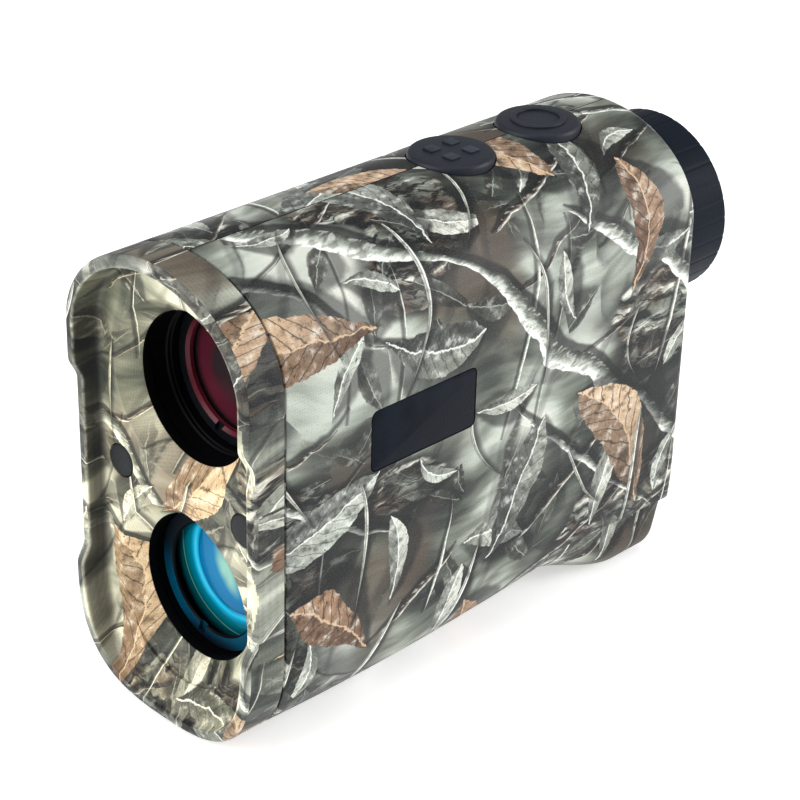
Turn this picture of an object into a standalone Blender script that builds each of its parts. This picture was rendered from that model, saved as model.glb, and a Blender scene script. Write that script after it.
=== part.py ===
# Handheld laser rangefinder: a slab housing in two halves, a hooded front bezel with two lens ports,
# two top buttons, a turning eyepiece and a sliding battery door under the back end.
# The front looks along -Y, the housing's left half lies at +X, and +Z is up.
import math

import bmesh
import bpy
from mathutils import Matrix, Vector

MM = 0.001
GAP = 0.3 * MM

# Housing section: an elliptic crown, flat sides and a squarish rounded belly
HALF_WIDTH = 20.5 * MM
CROWN_Z = 62.47 * MM
CROWN_HEIGHT = 16.29 * MM
BELLY_Z = 21.25 * MM
BELLY_HEIGHT = 21.25 * MM
BELLY_POWER = 2.83
BELLY_LOW_Y = -27.0 * MM
BELLY_FRONT_RISE = 0.72 * MM
BELLY_REAR_RISE = 2.4 * MM
WALL = 2.0 * MM
ARC_STEPS = 22

# Stations along the housing
HOOD_Y = -56.25 * MM
BROW_Y = -54.04 * MM
PANEL_Y = -51.34 * MM
PORT_Y = -48.05 * MM
SEAM_Y = -48.77 * MM
SPIGOT_Y = -46.5 * MM
REAR_Y = 42.63 * MM
REAR_FILLET = 2.0 * MM

# Front bezel
UPPER_STEP_Z = (56.5 * MM, 52.5 * MM)
LOWER_STEP_Z = (27.5 * MM, 20.0 * MM)
HOOD_LIP = 2.0 * MM
RECESS_INSET = 2.2 * MM
RAMP_TOP_Z = 12.0 * MM
RAMP_FOOT_Z = 1.6 * MM
DISH_RADIUS = 14.53 * MM
PORT_RADIUS = 12.1 * MM
PLUG_X = 14.1 * MM
PLUG_Z = 39.2 * MM
PLUG_RADIUS = 2.7 * MM
SCREW_RADIUS = 1.0 * MM
BOSS_RADIUS = 3.0 * MM

# Optics
OPTIC_Z = 56.0 * MM
RECEIVER_Z = 21.47 * MM
CELL_FRONT_Y = -46.2 * MM
CELL_REAR_Y = -31.0 * MM
LENS_RADIUS = 11.7 * MM
OBJECTIVE_CELL_RADIUS = 13.8 * MM
RECEIVER_CELL_RADIUS = 13.4 * MM
CELL_SEGMENTS = 32
NOTCH_TURN = math.radians(-105.0)

# Eyepiece
EYE_Z = 56.4 * MM
BARREL_RADIUS = 12.6 * MM
BARREL_BORE = 11.0 * MM
EYEPIECE_RADIUS = 15.97 * MM
EYEPIECE_END_Y = 56.25 * MM
RING_END_Y = 56.05 * MM
CUP_Y = 53.2 * MM
CUP_POCKET = 14.8 * MM
GROOVES = 30
GROOVE_DEPTH = 0.25 * MM

# Buttons
BUTTON_RADIUS = 7.0 * MM
BUTTON_TOP_Z = 79.4 * MM
MODE_Y = 4.6 * MM
POWER_Y = 24.7 * MM
BUTTON_FOOT_Z = 74.0 * MM
MARK_HEIGHT = 0.3 * MM
PAD_HALF = 1.05 * MM
PAD_PITCH = 2.15 * MM
RING_MARK = (3.5 * MM, 4.5 * MM)
BOARD_Z = 69.6 * MM

# Blank plate on the left side
PLATE_CENTRE = (-20.65 * MM, 49.15 * MM)
PLATE_SIZE = (22.0 * MM, 10.0 * MM)
PLATE_CORNER = 1.0 * MM

# Battery bay
DOOR_FRONT_Y = 12.0 * MM
DOOR_REAR_Y = 42.3 * MM
DOOR_TOP_Z = 10.6 * MM
DOOR_SIDE = 18.7 * MM
DOOR_CORNER = 4.5 * MM
DOOR_WALL = 1.8 * MM
DOOR_BLEND_Y = 31.0 * MM
DOOR_LEAN = 0.3
BATTERY_Y = 27.0 * MM
BATTERY_Z = 15.6 * MM
BATTERY_RADIUS = 7.8 * MM
BATTERY_HALF = 13.5 * MM

# Inner carriers: the board lies on shelves of the two bulkheads, and the prism holder stands on the board
FRONT_BULKHEAD_Y = (-35.4 * MM, -32.6 * MM)
REAR_BULKHEAD_Y = (33.4 * MM, 36.0 * MM)
MAIN_BOARD_Z = (38.0 * MM, 39.2 * MM)
SHELF_DEPTH = 4.0 * MM
SHELF_THICK = 1.5 * MM
HOLDER_LOW = (-12.5 * MM, -1.0 * MM, 43.8 * MM)
HOLDER_HIGH = (12.5 * MM, 27.0 * MM, 69.3 * MM)
HOLDER_WALL = 1.5 * MM
HOLDER_LEG = 2.5 * MM
PRISM_HALF = 10.7 * MM

for leftover in list(bpy.data.objects):
    bpy.data.objects.remove(leftover, do_unlink=True)


# Building blocks

def material(name, colour, roughness, metallic=0.0):
    made = bpy.data.materials.new(name)
    made.use_nodes = True
    shader = made.node_tree.nodes["Principled BSDF"]
    shader.inputs["Base Color"].default_value = (*colour, 1.0)
    shader.inputs["Roughness"].default_value = roughness
    shader.inputs["Metallic"].default_value = metallic
    return made


def finish_mesh(bm, name):
    bmesh.ops.remove_doubles(bm, verts=bm.verts, dist=0.001 * MM)
    bmesh.ops.dissolve_degenerate(bm, edges=bm.edges, dist=0.0005 * MM)
    bmesh.ops.recalc_face_normals(bm, faces=bm.faces)
    mesh = bpy.data.meshes.new(name)
    bm.to_mesh(mesh)
    bm.free()
    return mesh


def add(name, bm, look):
    colour, roughness, metallic = look
    mesh = finish_mesh(bm, name)
    mesh.materials.append(material(name + "_material", colour, roughness, metallic))
    piece = bpy.data.objects.new(name, mesh)
    bpy.context.collection.objects.link(piece)
    return piece


def shade(piece, angle=35.0):
    piece.data.shade_smooth()
    piece.data.set_sharp_from_angle(angle=math.radians(angle))


def combine(piece, bm, operation):
    tool = bpy.data.objects.new("tool", finish_mesh(bm, "tool"))
    bpy.context.collection.objects.link(tool)
    step = piece.modifiers.new("combine", "BOOLEAN")
    step.operation = operation
    step.solver = "EXACT"
    step.object = tool
    graph = bpy.context.evaluated_depsgraph_get()
    result = bpy.data.meshes.new_from_object(piece.evaluated_get(graph))
    piece.modifiers.clear()
    old = piece.data
    piece.data = result
    bpy.data.meshes.remove(old)
    bpy.data.objects.remove(tool, do_unlink=True)


def cut(piece, bm):
    combine(piece, bm, "DIFFERENCE")


def join(piece, bm):
    combine(piece, bm, "UNION")


def put_origin(piece, point):
    for vertex in piece.data.vertices:
        vertex.co -= Vector(point)
    piece.location = point


# Skins a stack of rings that all have the same number of points, and caps both ends
def loft(rings):
    bm = bmesh.new()
    rows = [[bm.verts.new(point) for point in ring] for ring in rings]
    count = len(rows[0])
    for lower, upper in zip(rows, rows[1:]):
        for i in range(count):
            j = (i + 1) % count
            bm.faces.new((lower[i], lower[j], upper[j], upper[i]))
    bm.faces.new(rows[0])
    bm.faces.new(rows[-1])
    return bm


# Turns a closed profile of (radius, along) points about an axis along Y or Z
def turned(profile, centre, axis="Y", segments=48, radius_at=None):
    bm = bmesh.new()
    rows = []
    for step in range(segments):
        angle = 2.0 * math.pi * step / segments
        row = []
        for radius, along in profile:
            reach = radius_at(step, radius) if radius_at else radius
            side, up = reach * math.cos(angle), reach * math.sin(angle)
            if axis == "Y":
                row.append(bm.verts.new((centre[0] + side, along, centre[1] + up)))
            else:
                row.append(bm.verts.new((centre[0] + side, centre[1] + up, along)))
        rows.append(row)
    count = len(profile)
    for step in range(segments):
        here, there = rows[step], rows[(step + 1) % segments]
        for i in range(count):
            j = (i + 1) % count
            on_axis = profile[i][0] == 0.0 and profile[j][0] == 0.0
            if not on_axis:
                bm.faces.new((here[i], here[j], there[j], there[i]))
    return bm


def cylinder(radius, low, high, centre, axis="Y", segments=32):
    return turned([(0.0, low), (radius, low), (radius, high), (0.0, high)], centre, axis, segments)


def box(low, high):
    corners = ((low[0], low[1]), (high[0], low[1]), (high[0], high[1]), (low[0], high[1]))
    return loft([[(x, y, z) for x, y in corners] for z in (low[2], high[2])])


# Extrudes an outline of (y, z) points across the housing
def across(outline, low_x, high_x):
    return loft([[(x, y, z) for y, z in outline] for x in (low_x, high_x)])


def smooth_step(value, start, end):
    t = min(max((value - start) / (end - start), 0.0), 1.0)
    return t * t * (3.0 - 2.0 * t)


def arc(centre, radius, start, end, steps):
    angles = [math.radians(start + (end - start) * i / steps) for i in range(steps + 1)]
    return [(centre[0] + radius * math.cos(a), centre[1] + radius * math.sin(a)) for a in angles]


def spaced(points, count):
    lengths = [0.0]
    for a, b in zip(points, points[1:]):
        lengths.append(lengths[-1] + math.dist(a, b))
    result, k = [], 0
    for i in range(count):
        target = lengths[-1] * i / (count - 1)
        while k < len(points) - 2 and lengths[k + 1] < target:
            k += 1
        t = (target - lengths[k]) / (lengths[k + 1] - lengths[k])
        a, b = points[k], points[k + 1]
        result.append((a[0] + (b[0] - a[0]) * t, a[1] + (b[1] - a[1]) * t))
    return result


# Housing section

def belly_rise(y):
    if y < BELLY_LOW_Y:
        t = (BELLY_LOW_Y - y) / (BELLY_LOW_Y - SEAM_Y)
        return BELLY_FRONT_RISE * min(t, 1.0) ** 2
    t = (y - BELLY_LOW_Y) / (DOOR_FRONT_Y - BELLY_LOW_Y)
    return BELLY_REAR_RISE * min(t, 1.0) ** 2


def signed_power(value, power):
    return math.copysign(abs(value) ** power, value)


def section(y, inset=0.0):
    half = HALF_WIDTH - inset
    crown = CROWN_HEIGHT - inset
    belly = BELLY_HEIGHT - belly_rise(y) - inset
    points = []
    for i in range(ARC_STEPS + 1):
        a = math.pi * i / ARC_STEPS
        points.append((half * math.cos(a), CROWN_Z + crown * math.sin(a)))
    for i in range(ARC_STEPS + 1):
        a = math.pi + math.pi * i / ARC_STEPS
        x = half * signed_power(math.cos(a), 2.0 / BELLY_POWER)
        z = BELLY_Z + belly * signed_power(math.sin(a), 2.0 / BELLY_POWER)
        points.append((x, z))
    return points


def ring(y, inset=0.0):
    return [(x, y, z) for x, z in section(y, inset)]


def housing_body(extra_inset, front_y, rear_y, fillet):
    low = BELLY_LOW_Y
    stations = [front_y, -38.0 * MM, low, -13.0 * MM, 0.0, DOOR_FRONT_Y, rear_y - fillet]
    rings = [ring(y, extra_inset) for y in stations]
    for i in range(1, 5):
        a = math.radians(90.0 * i / 4)
        y = rear_y - fillet + fillet * math.sin(a)
        rings.append(ring(y, extra_inset + fillet * (1.0 - math.cos(a))))
    return loft(rings)


# Looks: base colour, roughness, metallic
PRINT = ((0.24, 0.25, 0.21), 0.45, 0.0)
RUBBER = ((0.022, 0.026, 0.034), 0.6, 0.0)
BLACK = ((0.012, 0.012, 0.014), 0.5, 0.0)
ANODISED = ((0.015, 0.016, 0.018), 0.42, 0.6)
STEEL = ((0.55, 0.55, 0.55), 0.3, 1.0)
BOARD = ((0.02, 0.12, 0.05), 0.5, 0.0)
GREY = ((0.1, 0.1, 0.1), 0.5, 0.0)
RED_GLASS = ((0.16, 0.02, 0.03), 0.05, 0.0)
BLUE_GLASS = ((0.01, 0.13, 0.2), 0.05, 0.0)
CLEAR_GLASS = ((0.7, 0.75, 0.75), 0.03, 0.0)


# Housing halves

def plate_outline(grow):
    half_y = PLATE_SIZE[0] / 2 + grow
    half_z = PLATE_SIZE[1] / 2 + grow
    radius = PLATE_CORNER + grow
    outline = []
    for corner in range(4):
        side_y = 1 if corner in (0, 3) else -1
        side_z = 1 if corner in (0, 1) else -1
        centre_y = PLATE_CENTRE[0] + side_y * (half_y - radius)
        centre = (centre_y, PLATE_CENTRE[1] + side_z * (half_z - radius))
        outline += arc(centre, radius, 90.0 * corner, 90.0 * corner + 90.0, 4)
    return outline


def make_shell(name, side):
    shell = add(name, housing_body(0.0, SEAM_Y + GAP / 2, REAR_Y, REAR_FILLET), PRINT)
    cut(shell, housing_body(WALL, SEAM_Y - WALL, REAR_Y - WALL, REAR_FILLET / 2))
    far = 60.0 * MM
    keep_from = GAP / 2
    if side > 0:
        cut(shell, box((-far, -far, -far), (keep_from, far, 2 * far)))
    else:
        cut(shell, box((-keep_from, -far, -far), (far, far, 2 * far)))
    for y in (MODE_Y, POWER_Y):
        cut(shell, cylinder(BUTTON_RADIUS + GAP, 70 * MM, 90 * MM, (0.0, y), "Z", 40))
    cut(shell, cylinder(BARREL_RADIUS + GAP, 36 * MM, 50 * MM, (0.0, EYE_Z), "Y", 48))
    cut(shell, box((-far, DOOR_FRONT_Y, -far), (far, far, DOOR_TOP_Z + GAP)))
    if side > 0:
        floor_x = HALF_WIDTH - 0.8 * MM
        cut(shell, across(plate_outline(GAP), floor_x, far))
    boss_from, boss_to = SPIGOT_Y + GAP, SPIGOT_Y + 10 * MM
    rib_x = (PLUG_X * side, (HALF_WIDTH - WALL / 2) * side)
    rib_low = (min(rib_x), boss_from, PLUG_Z - 1.2 * MM)
    rib_high = (max(rib_x), boss_to - 0.5 * MM, PLUG_Z + 1.2 * MM)
    join(shell, box(rib_low, rib_high))
    join(shell, cylinder(BOSS_RADIUS, boss_from, boss_to, (PLUG_X * side, PLUG_Z), "Y", 24))
    hole_from, hole_to = boss_from - 1 * MM, boss_to - 1 * MM
    cut(shell, cylinder(SCREW_RADIUS + GAP, hole_from, hole_to, (PLUG_X * side, PLUG_Z), "Y", 16))
    shade(shell)
    return shell


def make_plate():
    inner_x = HALF_WIDTH - 0.8 * MM + GAP
    plate = add("side_plate", across(plate_outline(0.0), inner_x, HALF_WIDTH), RUBBER)
    shade(plate)


# Front bezel

# Where the bezel's front edge lies at a height: both hoods stand forward of the brow between them
def front_edge(z):
    upper = smooth_step(z, UPPER_STEP_Z[1], UPPER_STEP_Z[0])
    lower = 1.0 - smooth_step(z, LOWER_STEP_Z[1], LOWER_STEP_Z[0])
    return BROW_Y + (HOOD_Y - BROW_Y) * max(upper, lower)


def dish(z):
    slope = (DISH_RADIUS - PORT_RADIUS) / (PORT_Y - PANEL_Y)
    ahead = 60.0 * MM
    front_radius = PORT_RADIUS + slope * (ahead + PORT_Y)
    behind = -40.0 * MM
    profile = [(0.0, -ahead), (front_radius, -ahead), (PORT_RADIUS, PORT_Y)]
    profile += [(PORT_RADIUS, behind), (0.0, behind)]
    return turned(profile, (0.0, z), "Y", 56)


def recess():
    ahead = -60.0 * MM
    stages = [ring(ahead, 0.6 * MM), ring(HOOD_Y, HOOD_LIP), ring(PANEL_Y, RECESS_INSET)]
    pocket = add("recess", loft(stages), PRINT)
    low = -5 * MM
    ramp = [(PANEL_Y + 1 * MM, RAMP_TOP_Z), (PANEL_Y, RAMP_TOP_Z), (HOOD_Y, RAMP_FOOT_Z)]
    ramp += [(ahead - 1 * MM, RAMP_FOOT_Z), (ahead - 1 * MM, low), (PANEL_Y + 1 * MM, low)]
    cut(pocket, across(ramp, -30 * MM, 30 * MM))
    bm = bmesh.new()
    bm.from_mesh(pocket.data)
    bpy.data.objects.remove(pocket, do_unlink=True)
    return bm


def make_bezel():
    edge = 0.7 * MM
    back = SEAM_Y - GAP / 2
    spigot = WALL + GAP
    stations = [(HOOD_Y, edge), (HOOD_Y + edge * 0.3, edge * 0.3), (HOOD_Y + edge, 0.0)]
    stations += [(back, 0.0), (back, spigot), (SPIGOT_Y, spigot)]
    bezel = add("front_bezel", loft([ring(y, inset) for y, inset in stations]), PRINT)
    heights = [90 * MM] + [UPPER_STEP_Z[0] - (UPPER_STEP_Z[0] - UPPER_STEP_Z[1]) * i / 6 for i in range(7)]
    heights += [LOWER_STEP_Z[0] - (LOWER_STEP_Z[0] - LOWER_STEP_Z[1]) * i / 6 for i in range(7)] + [-5 * MM]
    clear = 0.05 * MM
    contour = [(front_edge(z) - (clear if front_edge(z) == HOOD_Y else 0.0), z) for z in heights]
    cut(bezel, across(contour + [(-70 * MM, -5 * MM), (-70 * MM, 90 * MM)], -30 * MM, 30 * MM))
    cut(bezel, recess())
    for z in (OPTIC_Z, RECEIVER_Z):
        cut(bezel, dish(z))
    for side in (-1, 1):
        spot = (PLUG_X * side, PLUG_Z)
        cut(bezel, cylinder(PLUG_RADIUS + GAP, -60 * MM, -48.2 * MM, spot, "Y", 24))
        cut(bezel, cylinder(SCREW_RADIUS + GAP, -50 * MM, -40 * MM, spot, "Y", 16))
    shade(bezel)


def make_plugs_and_screws():
    for side, label in ((1, "left"), (-1, "right")):
        spot = (PLUG_X * side, PLUG_Z)
        front, back = PANEL_Y - 0.2 * MM, -49.9 * MM
        profile = [(0.0, front), (PLUG_RADIUS - 0.4 * MM, front), (PLUG_RADIUS, front + 0.4 * MM)]
        profile += [(PLUG_RADIUS, back), (0.0, back)]
        shade(add("bezel_plug_" + label, turned(profile, spot, "Y", 24), RUBBER))
        head, seat, tip = back + GAP, -48.5 * MM, -38.5 * MM
        profile = [(0.0, head), (2.1 * MM, head), (2.1 * MM, seat), (SCREW_RADIUS, seat)]
        profile += [(SCREW_RADIUS, tip), (0.0, tip)]
        shade(add("bezel_screw_" + label, turned(profile, spot, "Y", 16), STEEL))


# Optics

# A lens with a rim and a bulging front and back, given by its rim planes and the two bulges
def lens_profile(radius, front, back, front_bulge, back_bulge):
    profile = []
    steps = 4 if front_bulge else 1
    for i in range(steps + 1):
        r = radius * i / steps
        profile.append((r, front - front_bulge * (1.0 - (r / radius) ** 2)))
    steps = 4 if back_bulge else 1
    for i in range(steps + 1):
        r = radius * (1.0 - i / steps)
        profile.append((r, back + back_bulge * (1.0 - (r / radius) ** 2)))
    return profile


def make_port(prefix, z, cell_radius, seat_y, throat, bore, glass):
    axis = (0.0, z)
    step = 0.5 * MM
    profile = [(PORT_RADIUS, CELL_FRONT_Y), (cell_radius, CELL_FRONT_Y), (cell_radius, CELL_REAR_Y)]
    profile += [(throat, CELL_REAR_Y), (throat, seat_y + 2 * MM), (throat + step, seat_y)]
    profile.append((PORT_RADIUS, seat_y))
    shade(add(prefix + "_cell", turned(profile, axis, "Y", CELL_SEGMENTS), ANODISED))
    rim_back = seat_y - GAP
    rim_front = rim_back - 2.6 * MM
    bulge = 1.2 * MM
    profile = lens_profile(LENS_RADIUS, rim_front, rim_back, bulge, 0.0)
    shade(add(prefix + "_lens", turned(profile, axis, "Y", CELL_SEGMENTS), glass))
    ring_back = rim_front - 0.7 * MM
    ring_front = ring_back - 1.2 * MM
    outer = PORT_RADIUS - GAP
    profile = [(bore + 0.5 * MM, ring_front), (outer, ring_front), (outer, ring_back), (bore, ring_back)]
    profile.append((bore, ring_front + 0.5 * MM))
    retainer = add(prefix + "_retaining_ring", turned(profile, axis, "Y", CELL_SEGMENTS), ANODISED)
    half_slot, slot_depth = 0.7 * MM, 0.6 * MM
    inner, reach = bore - 1 * MM, outer - 0.6 * MM
    for turn in (NOTCH_TURN, NOTCH_TURN + math.pi):
        slot = box((inner, ring_front - 1 * MM, -half_slot), (reach, ring_front + slot_depth, half_slot))
        bmesh.ops.rotate(slot, verts=slot.verts, cent=(0, 0, 0), matrix=Matrix.Rotation(-turn, 3, "Y"))
        bmesh.ops.translate(slot, verts=slot.verts, vec=(0.0, 0.0, z))
        cut(retainer, slot)
    shade(retainer)


def make_bulkheads():
    far = 60 * MM
    shelf_top = MAIN_BOARD_Z[0] - GAP
    shelf_low, shelf_half = shelf_top - SHELF_THICK, 10.0 * MM
    front = add("front_bulkhead", loft([ring(y, WALL + GAP) for y in FRONT_BULKHEAD_Y]), BLACK)
    for z, radius in ((OPTIC_Z, OBJECTIVE_CELL_RADIUS), (RECEIVER_Z, RECEIVER_CELL_RADIUS)):
        cut(front, cylinder(radius + GAP, -40 * MM, -28 * MM, (0.0, z), "Y", CELL_SEGMENTS))
    start = FRONT_BULKHEAD_Y[1]
    join(front, box((-shelf_half, start - 1 * MM, shelf_low), (shelf_half, start + SHELF_DEPTH, shelf_top)))
    shade(front)
    rear = add("rear_bulkhead", loft([ring(y, WALL + GAP) for y in REAR_BULKHEAD_Y]), BLACK)
    cut(rear, box((-far, -far, -far), (far, far, shelf_low)))
    cut(rear, cylinder(9.0 * MM, 30 * MM, 40 * MM, (0.0, OPTIC_Z), "Y", CELL_SEGMENTS))
    start = REAR_BULKHEAD_Y[0]
    join(rear, box((-shelf_half, start - SHELF_DEPTH, shelf_low), (shelf_half, start + 1 * MM, shelf_top)))
    shade(rear)


def make_prisms():
    low, high, wall = HOLDER_LOW, HOLDER_HIGH, HOLDER_WALL
    floor_top = OPTIC_Z - 10.0 * MM - GAP
    holder = add("prism_holder", box(low, high), BLACK)
    inner_high = (high[0] - wall, high[1] - wall, high[2] + wall)
    cut(holder, box((low[0] + wall, low[1] - wall, floor_top), inner_high))
    cut(holder, cylinder(8.5 * MM, 20 * MM, 30 * MM, (0.0, OPTIC_Z), "Y", CELL_SEGMENTS))
    foot = MAIN_BOARD_Z[1] + GAP
    for x in (low[0] + 0.5 * MM, high[0] - 0.5 * MM - HOLDER_LEG):
        for y in (low[1] + 0.5 * MM, high[1] - 0.5 * MM - HOLDER_LEG):
            join(holder, box((x, y, foot), (x + HOLDER_LEG, y + HOLDER_LEG, low[2] + 0.5 * MM)))
    for x in (low[0], high[0] - wall):
        tab_low = (x, high[1] - 2 * MM, low[2] + 1.5 * MM)
        tab_high = (x + wall, REAR_BULKHEAD_Y[0] - GAP, high[2] - 2 * MM)
        join(holder, box(tab_low, tab_high))
    first = [(1.0, -10.0), (1.0, 10.0), (5.0, 10.0), (14.5, 0.5), (5.2, -10.0)]
    second = [(24.8, 10.0), (24.8, -10.0), (6.6, -10.0), (15.6, 0.2), (7.0, 10.0)]
    for name, outline in (("half_prism", first), ("roof_prism", second)):
        points = [(y * MM, OPTIC_Z + z * MM) for y, z in outline]
        add(name, across(points, -PRISM_HALF, PRISM_HALF), CLEAR_GLASS)


def make_electronics():
    board_low, board_top = MAIN_BOARD_Z
    board_from, board_to = FRONT_BULKHEAD_Y[1] + GAP, REAR_BULKHEAD_Y[0] - GAP
    add("main_board", box((-12 * MM, board_from, board_low), (12 * MM, board_to, board_top)), BOARD)
    laser = [(0.0, board_top + GAP), (4.2 * MM, board_top + GAP), (4.2 * MM, 41.5 * MM)]
    laser += [(3.2 * MM, 41.5 * MM), (3.2 * MM, 43.4 * MM), (0.0, 43.4 * MM)]
    shade(add("laser_module", turned(laser, (0.0, 12 * MM), "Z", 24), STEEL))
    add("detector_board", box((-11 * MM, -22.0 * MM, 12 * MM), (11 * MM, -20.8 * MM, board_low - GAP)), BOARD)
    can = [(0.0, -27.0 * MM), (4.1 * MM, -27.0 * MM), (4.1 * MM, -23.3 * MM), (4.8 * MM, -23.3 * MM)]
    can += [(4.8 * MM, -22.3 * MM), (0.0, -22.3 * MM)]
    shade(add("detector", turned(can, (0.0, RECEIVER_Z), "Y", 24), STEEL))
    add("reticle_display", box((-8 * MM, 31.4 * MM, 48 * MM), (8 * MM, 33.1 * MM, 64 * MM)), CLEAR_GLASS)
    switch_from = BOARD_Z + 1.2 * MM
    add("switch_board", box((-12 * MM, -3 * MM, BOARD_Z), (12 * MM, 32 * MM, switch_from)), BOARD)
    for name, y in (("mode_switch", MODE_Y), ("power_switch", POWER_Y)):
        base = switch_from + GAP
        half = 3.0 * MM
        switch = add(name, box((-half, y - half, base), (half, y + half, base + 1.2 * MM)), GREY)
        join(switch, cylinder(1.7 * MM, base + 0.6 * MM, base + 1.7 * MM, (0.0, y), "Z", 20))
        shade(switch)


# Buttons: a flanged cap that the halves hold down, with raised marks on its top
def make_button(name, y):
    flange_top = BUTTON_FOOT_Z + 0.9 * MM
    flange = BUTTON_RADIUS + 1.0 * MM
    round_edge = 0.8 * MM
    profile = [(0.0, BUTTON_FOOT_Z), (flange, BUTTON_FOOT_Z), (flange, flange_top)]
    profile.append((BUTTON_RADIUS, flange_top))
    corner = (BUTTON_RADIUS - round_edge, BUTTON_TOP_Z - round_edge)
    profile += arc(corner, round_edge, 0.0, 80.0, 3)
    profile.append((0.0, BUTTON_TOP_Z + 0.1 * MM))
    button = add(name, turned(profile, (0.0, y), "Z", 36), RUBBER)
    low, high = BUTTON_TOP_Z - 0.5 * MM, BUTTON_TOP_Z + MARK_HEIGHT
    if name == "mode_button":
        half = PAD_HALF
        for side_x in (-PAD_PITCH, PAD_PITCH):
            for side_y in (y - PAD_PITCH, y + PAD_PITCH):
                join(button, box((side_x - half, side_y - half, low), (side_x + half, side_y + half, high)))
    else:
        inner, outer = RING_MARK
        mark = [(inner, low), (outer, low), (outer, high), (inner, high)]
        join(button, turned(mark, (0.0, y), "Z", 24))
    shade(button)
    put_origin(button, (0.0, y, BUTTON_FOOT_Z))


# Eyepiece

def make_eyepiece():
    axis = (0.0, EYE_Z)
    flange_front, flange_back = 38.2 * MM, REAR_Y - WALL - GAP
    profile = [(BARREL_BORE, flange_front), (14.9 * MM, flange_front), (14.9 * MM, flange_back)]
    profile += [(BARREL_RADIUS, flange_back), (BARREL_RADIUS, 52.6 * MM), (BARREL_BORE, 52.6 * MM)]
    shade(add("eyepiece_barrel", turned(profile, axis, "Y", CELL_SEGMENTS), ANODISED))

    bore = BARREL_RADIUS + GAP
    ring_front, ring_back = REAR_Y + GAP, RING_END_Y
    edge = 0.5 * MM
    profile = [(bore, ring_front), (EYEPIECE_RADIUS - edge, ring_front), (EYEPIECE_RADIUS, ring_front + edge)]
    profile += [(EYEPIECE_RADIUS, ring_back - edge), (EYEPIECE_RADIUS - edge, ring_back)]
    profile += [(CUP_POCKET, ring_back), (CUP_POCKET, CUP_Y), (bore, CUP_Y)]

    # Each groove takes one step in three of the turn
    def grooved(step, radius):
        if step % 3 == 0 and radius > EYEPIECE_RADIUS - 2 * edge:
            return radius - GROOVE_DEPTH
        return radius

    grip = add("diopter_ring", turned(profile, axis, "Y", GROOVES * 3, grooved), RUBBER)
    shade(grip)
    put_origin(grip, (0.0, ring_front, EYE_Z))

    # The soft cup sits in a pocket of the ring
    cup_front = CUP_Y + GAP
    rim = 1.0 * MM
    hole = 11.6 * MM
    outer = CUP_POCKET - GAP
    profile = [(hole, cup_front), (outer, cup_front)]
    profile += arc((outer - rim, EYEPIECE_END_Y - rim), rim, 0.0, 90.0, 3)
    profile += [(hole + 1.4 * MM, EYEPIECE_END_Y), (hole, EYEPIECE_END_Y - 1.0 * MM)]
    cup = add("eyecup", turned(profile, axis, "Y", 36), RUBBER)
    shade(cup)
    put_origin(cup, (0.0, ring_front, EYE_Z))

    cell_from, cell_to = 42.0 * MM, 50.6 * MM
    outer, hole = BARREL_BORE - GAP, 9.6 * MM
    profile = [(hole, cell_from), (outer, cell_from), (outer, cell_to), (hole - 1.0 * MM, cell_to)]
    profile += [(hole - 1.0 * MM, cell_to - 0.7 * MM), (hole, cell_to - 0.7 * MM)]
    cell = add("ocular_cell", turned(profile, axis, "Y", 24), ANODISED)
    shade(cell)
    put_origin(cell, (0.0, cell_from, EYE_Z))

    lens = lens_profile(hole - GAP, 47.6 * MM, 49.5 * MM, 1.0 * MM, 0.0)
    field = lens_profile(hole - GAP, 43.0 * MM, 44.6 * MM, 0.0, 1.0 * MM)
    for name, outline in (("ocular_lens", lens), ("field_lens", field)):
        glass = add(name, turned(outline, axis, "Y", 24), CLEAR_GLASS)
        shade(glass)
        put_origin(glass, (0.0, cell_from, EYE_Z))


# Battery bay

# The door's lower outline: the housing's own belly at its front, a flat-bottomed box from there back
def door_section(y, inset, top):
    count = 21
    belly = [(x, z) for x, z in section(DOOR_FRONT_Y, inset)[ARC_STEPS + 1:] if z < top - 0.2 * MM]
    edge = HALF_WIDTH - inset
    rise = BELLY_HEIGHT - belly_rise(DOOR_FRONT_Y) - inset
    top_x = edge * (1.0 - ((BELLY_Z - top) / rise) ** BELLY_POWER) ** (1.0 / BELLY_POWER)
    belly = spaced([(-top_x, top)] + belly + [(top_x, top)], count)
    side, low, radius = DOOR_SIDE - inset, inset, max(DOOR_CORNER - inset, 1.0 * MM)
    boxed = [(-side, top)] + arc((radius - side, low + radius), radius, 180.0, 270.0, 5)
    boxed += arc((side - radius, low + radius), radius, 270.0, 360.0, 5) + [(side, top)]
    boxed = spaced(boxed, count)
    blend = smooth_step(y, DOOR_FRONT_Y, DOOR_BLEND_Y)
    return [(a[0] + (b[0] - a[0]) * blend, a[1] + (b[1] - a[1]) * blend) for a, b in zip(belly, boxed)]


def door_ring(y, inset, top):
    lean = DOOR_LEAN * smooth_step(y, DOOR_BLEND_Y, DOOR_REAR_Y)
    return [(x, y - lean * (DOOR_TOP_Z - z), z) for x, z in door_section(y, inset, top)]


def make_door():
    front = DOOR_FRONT_Y + GAP
    blend_steps = 5
    stations = [front + (DOOR_BLEND_Y - front) * i / blend_steps for i in range(blend_steps + 1)]
    rings = [door_ring(y, 0.0, DOOR_TOP_Z) for y in stations]
    fillet = 1.6 * MM
    for i in range(4):
        a = math.radians(90.0 * i / 3)
        y = DOOR_REAR_Y - fillet + fillet * math.sin(a)
        rings.append(door_ring(y, fillet * (1.0 - math.cos(a)), DOOR_TOP_Z))
    door = add("battery_door", loft(rings), PRINT)
    over = DOOR_TOP_Z + 2 * MM
    hollow = [front - 2 * MM] + stations[1:] + [DOOR_REAR_Y - DOOR_WALL]
    cut(door, loft([door_ring(y, DOOR_WALL, over) for y in hollow]))
    shade(door)
    put_origin(door, (0.0, front, 0.0))


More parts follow.
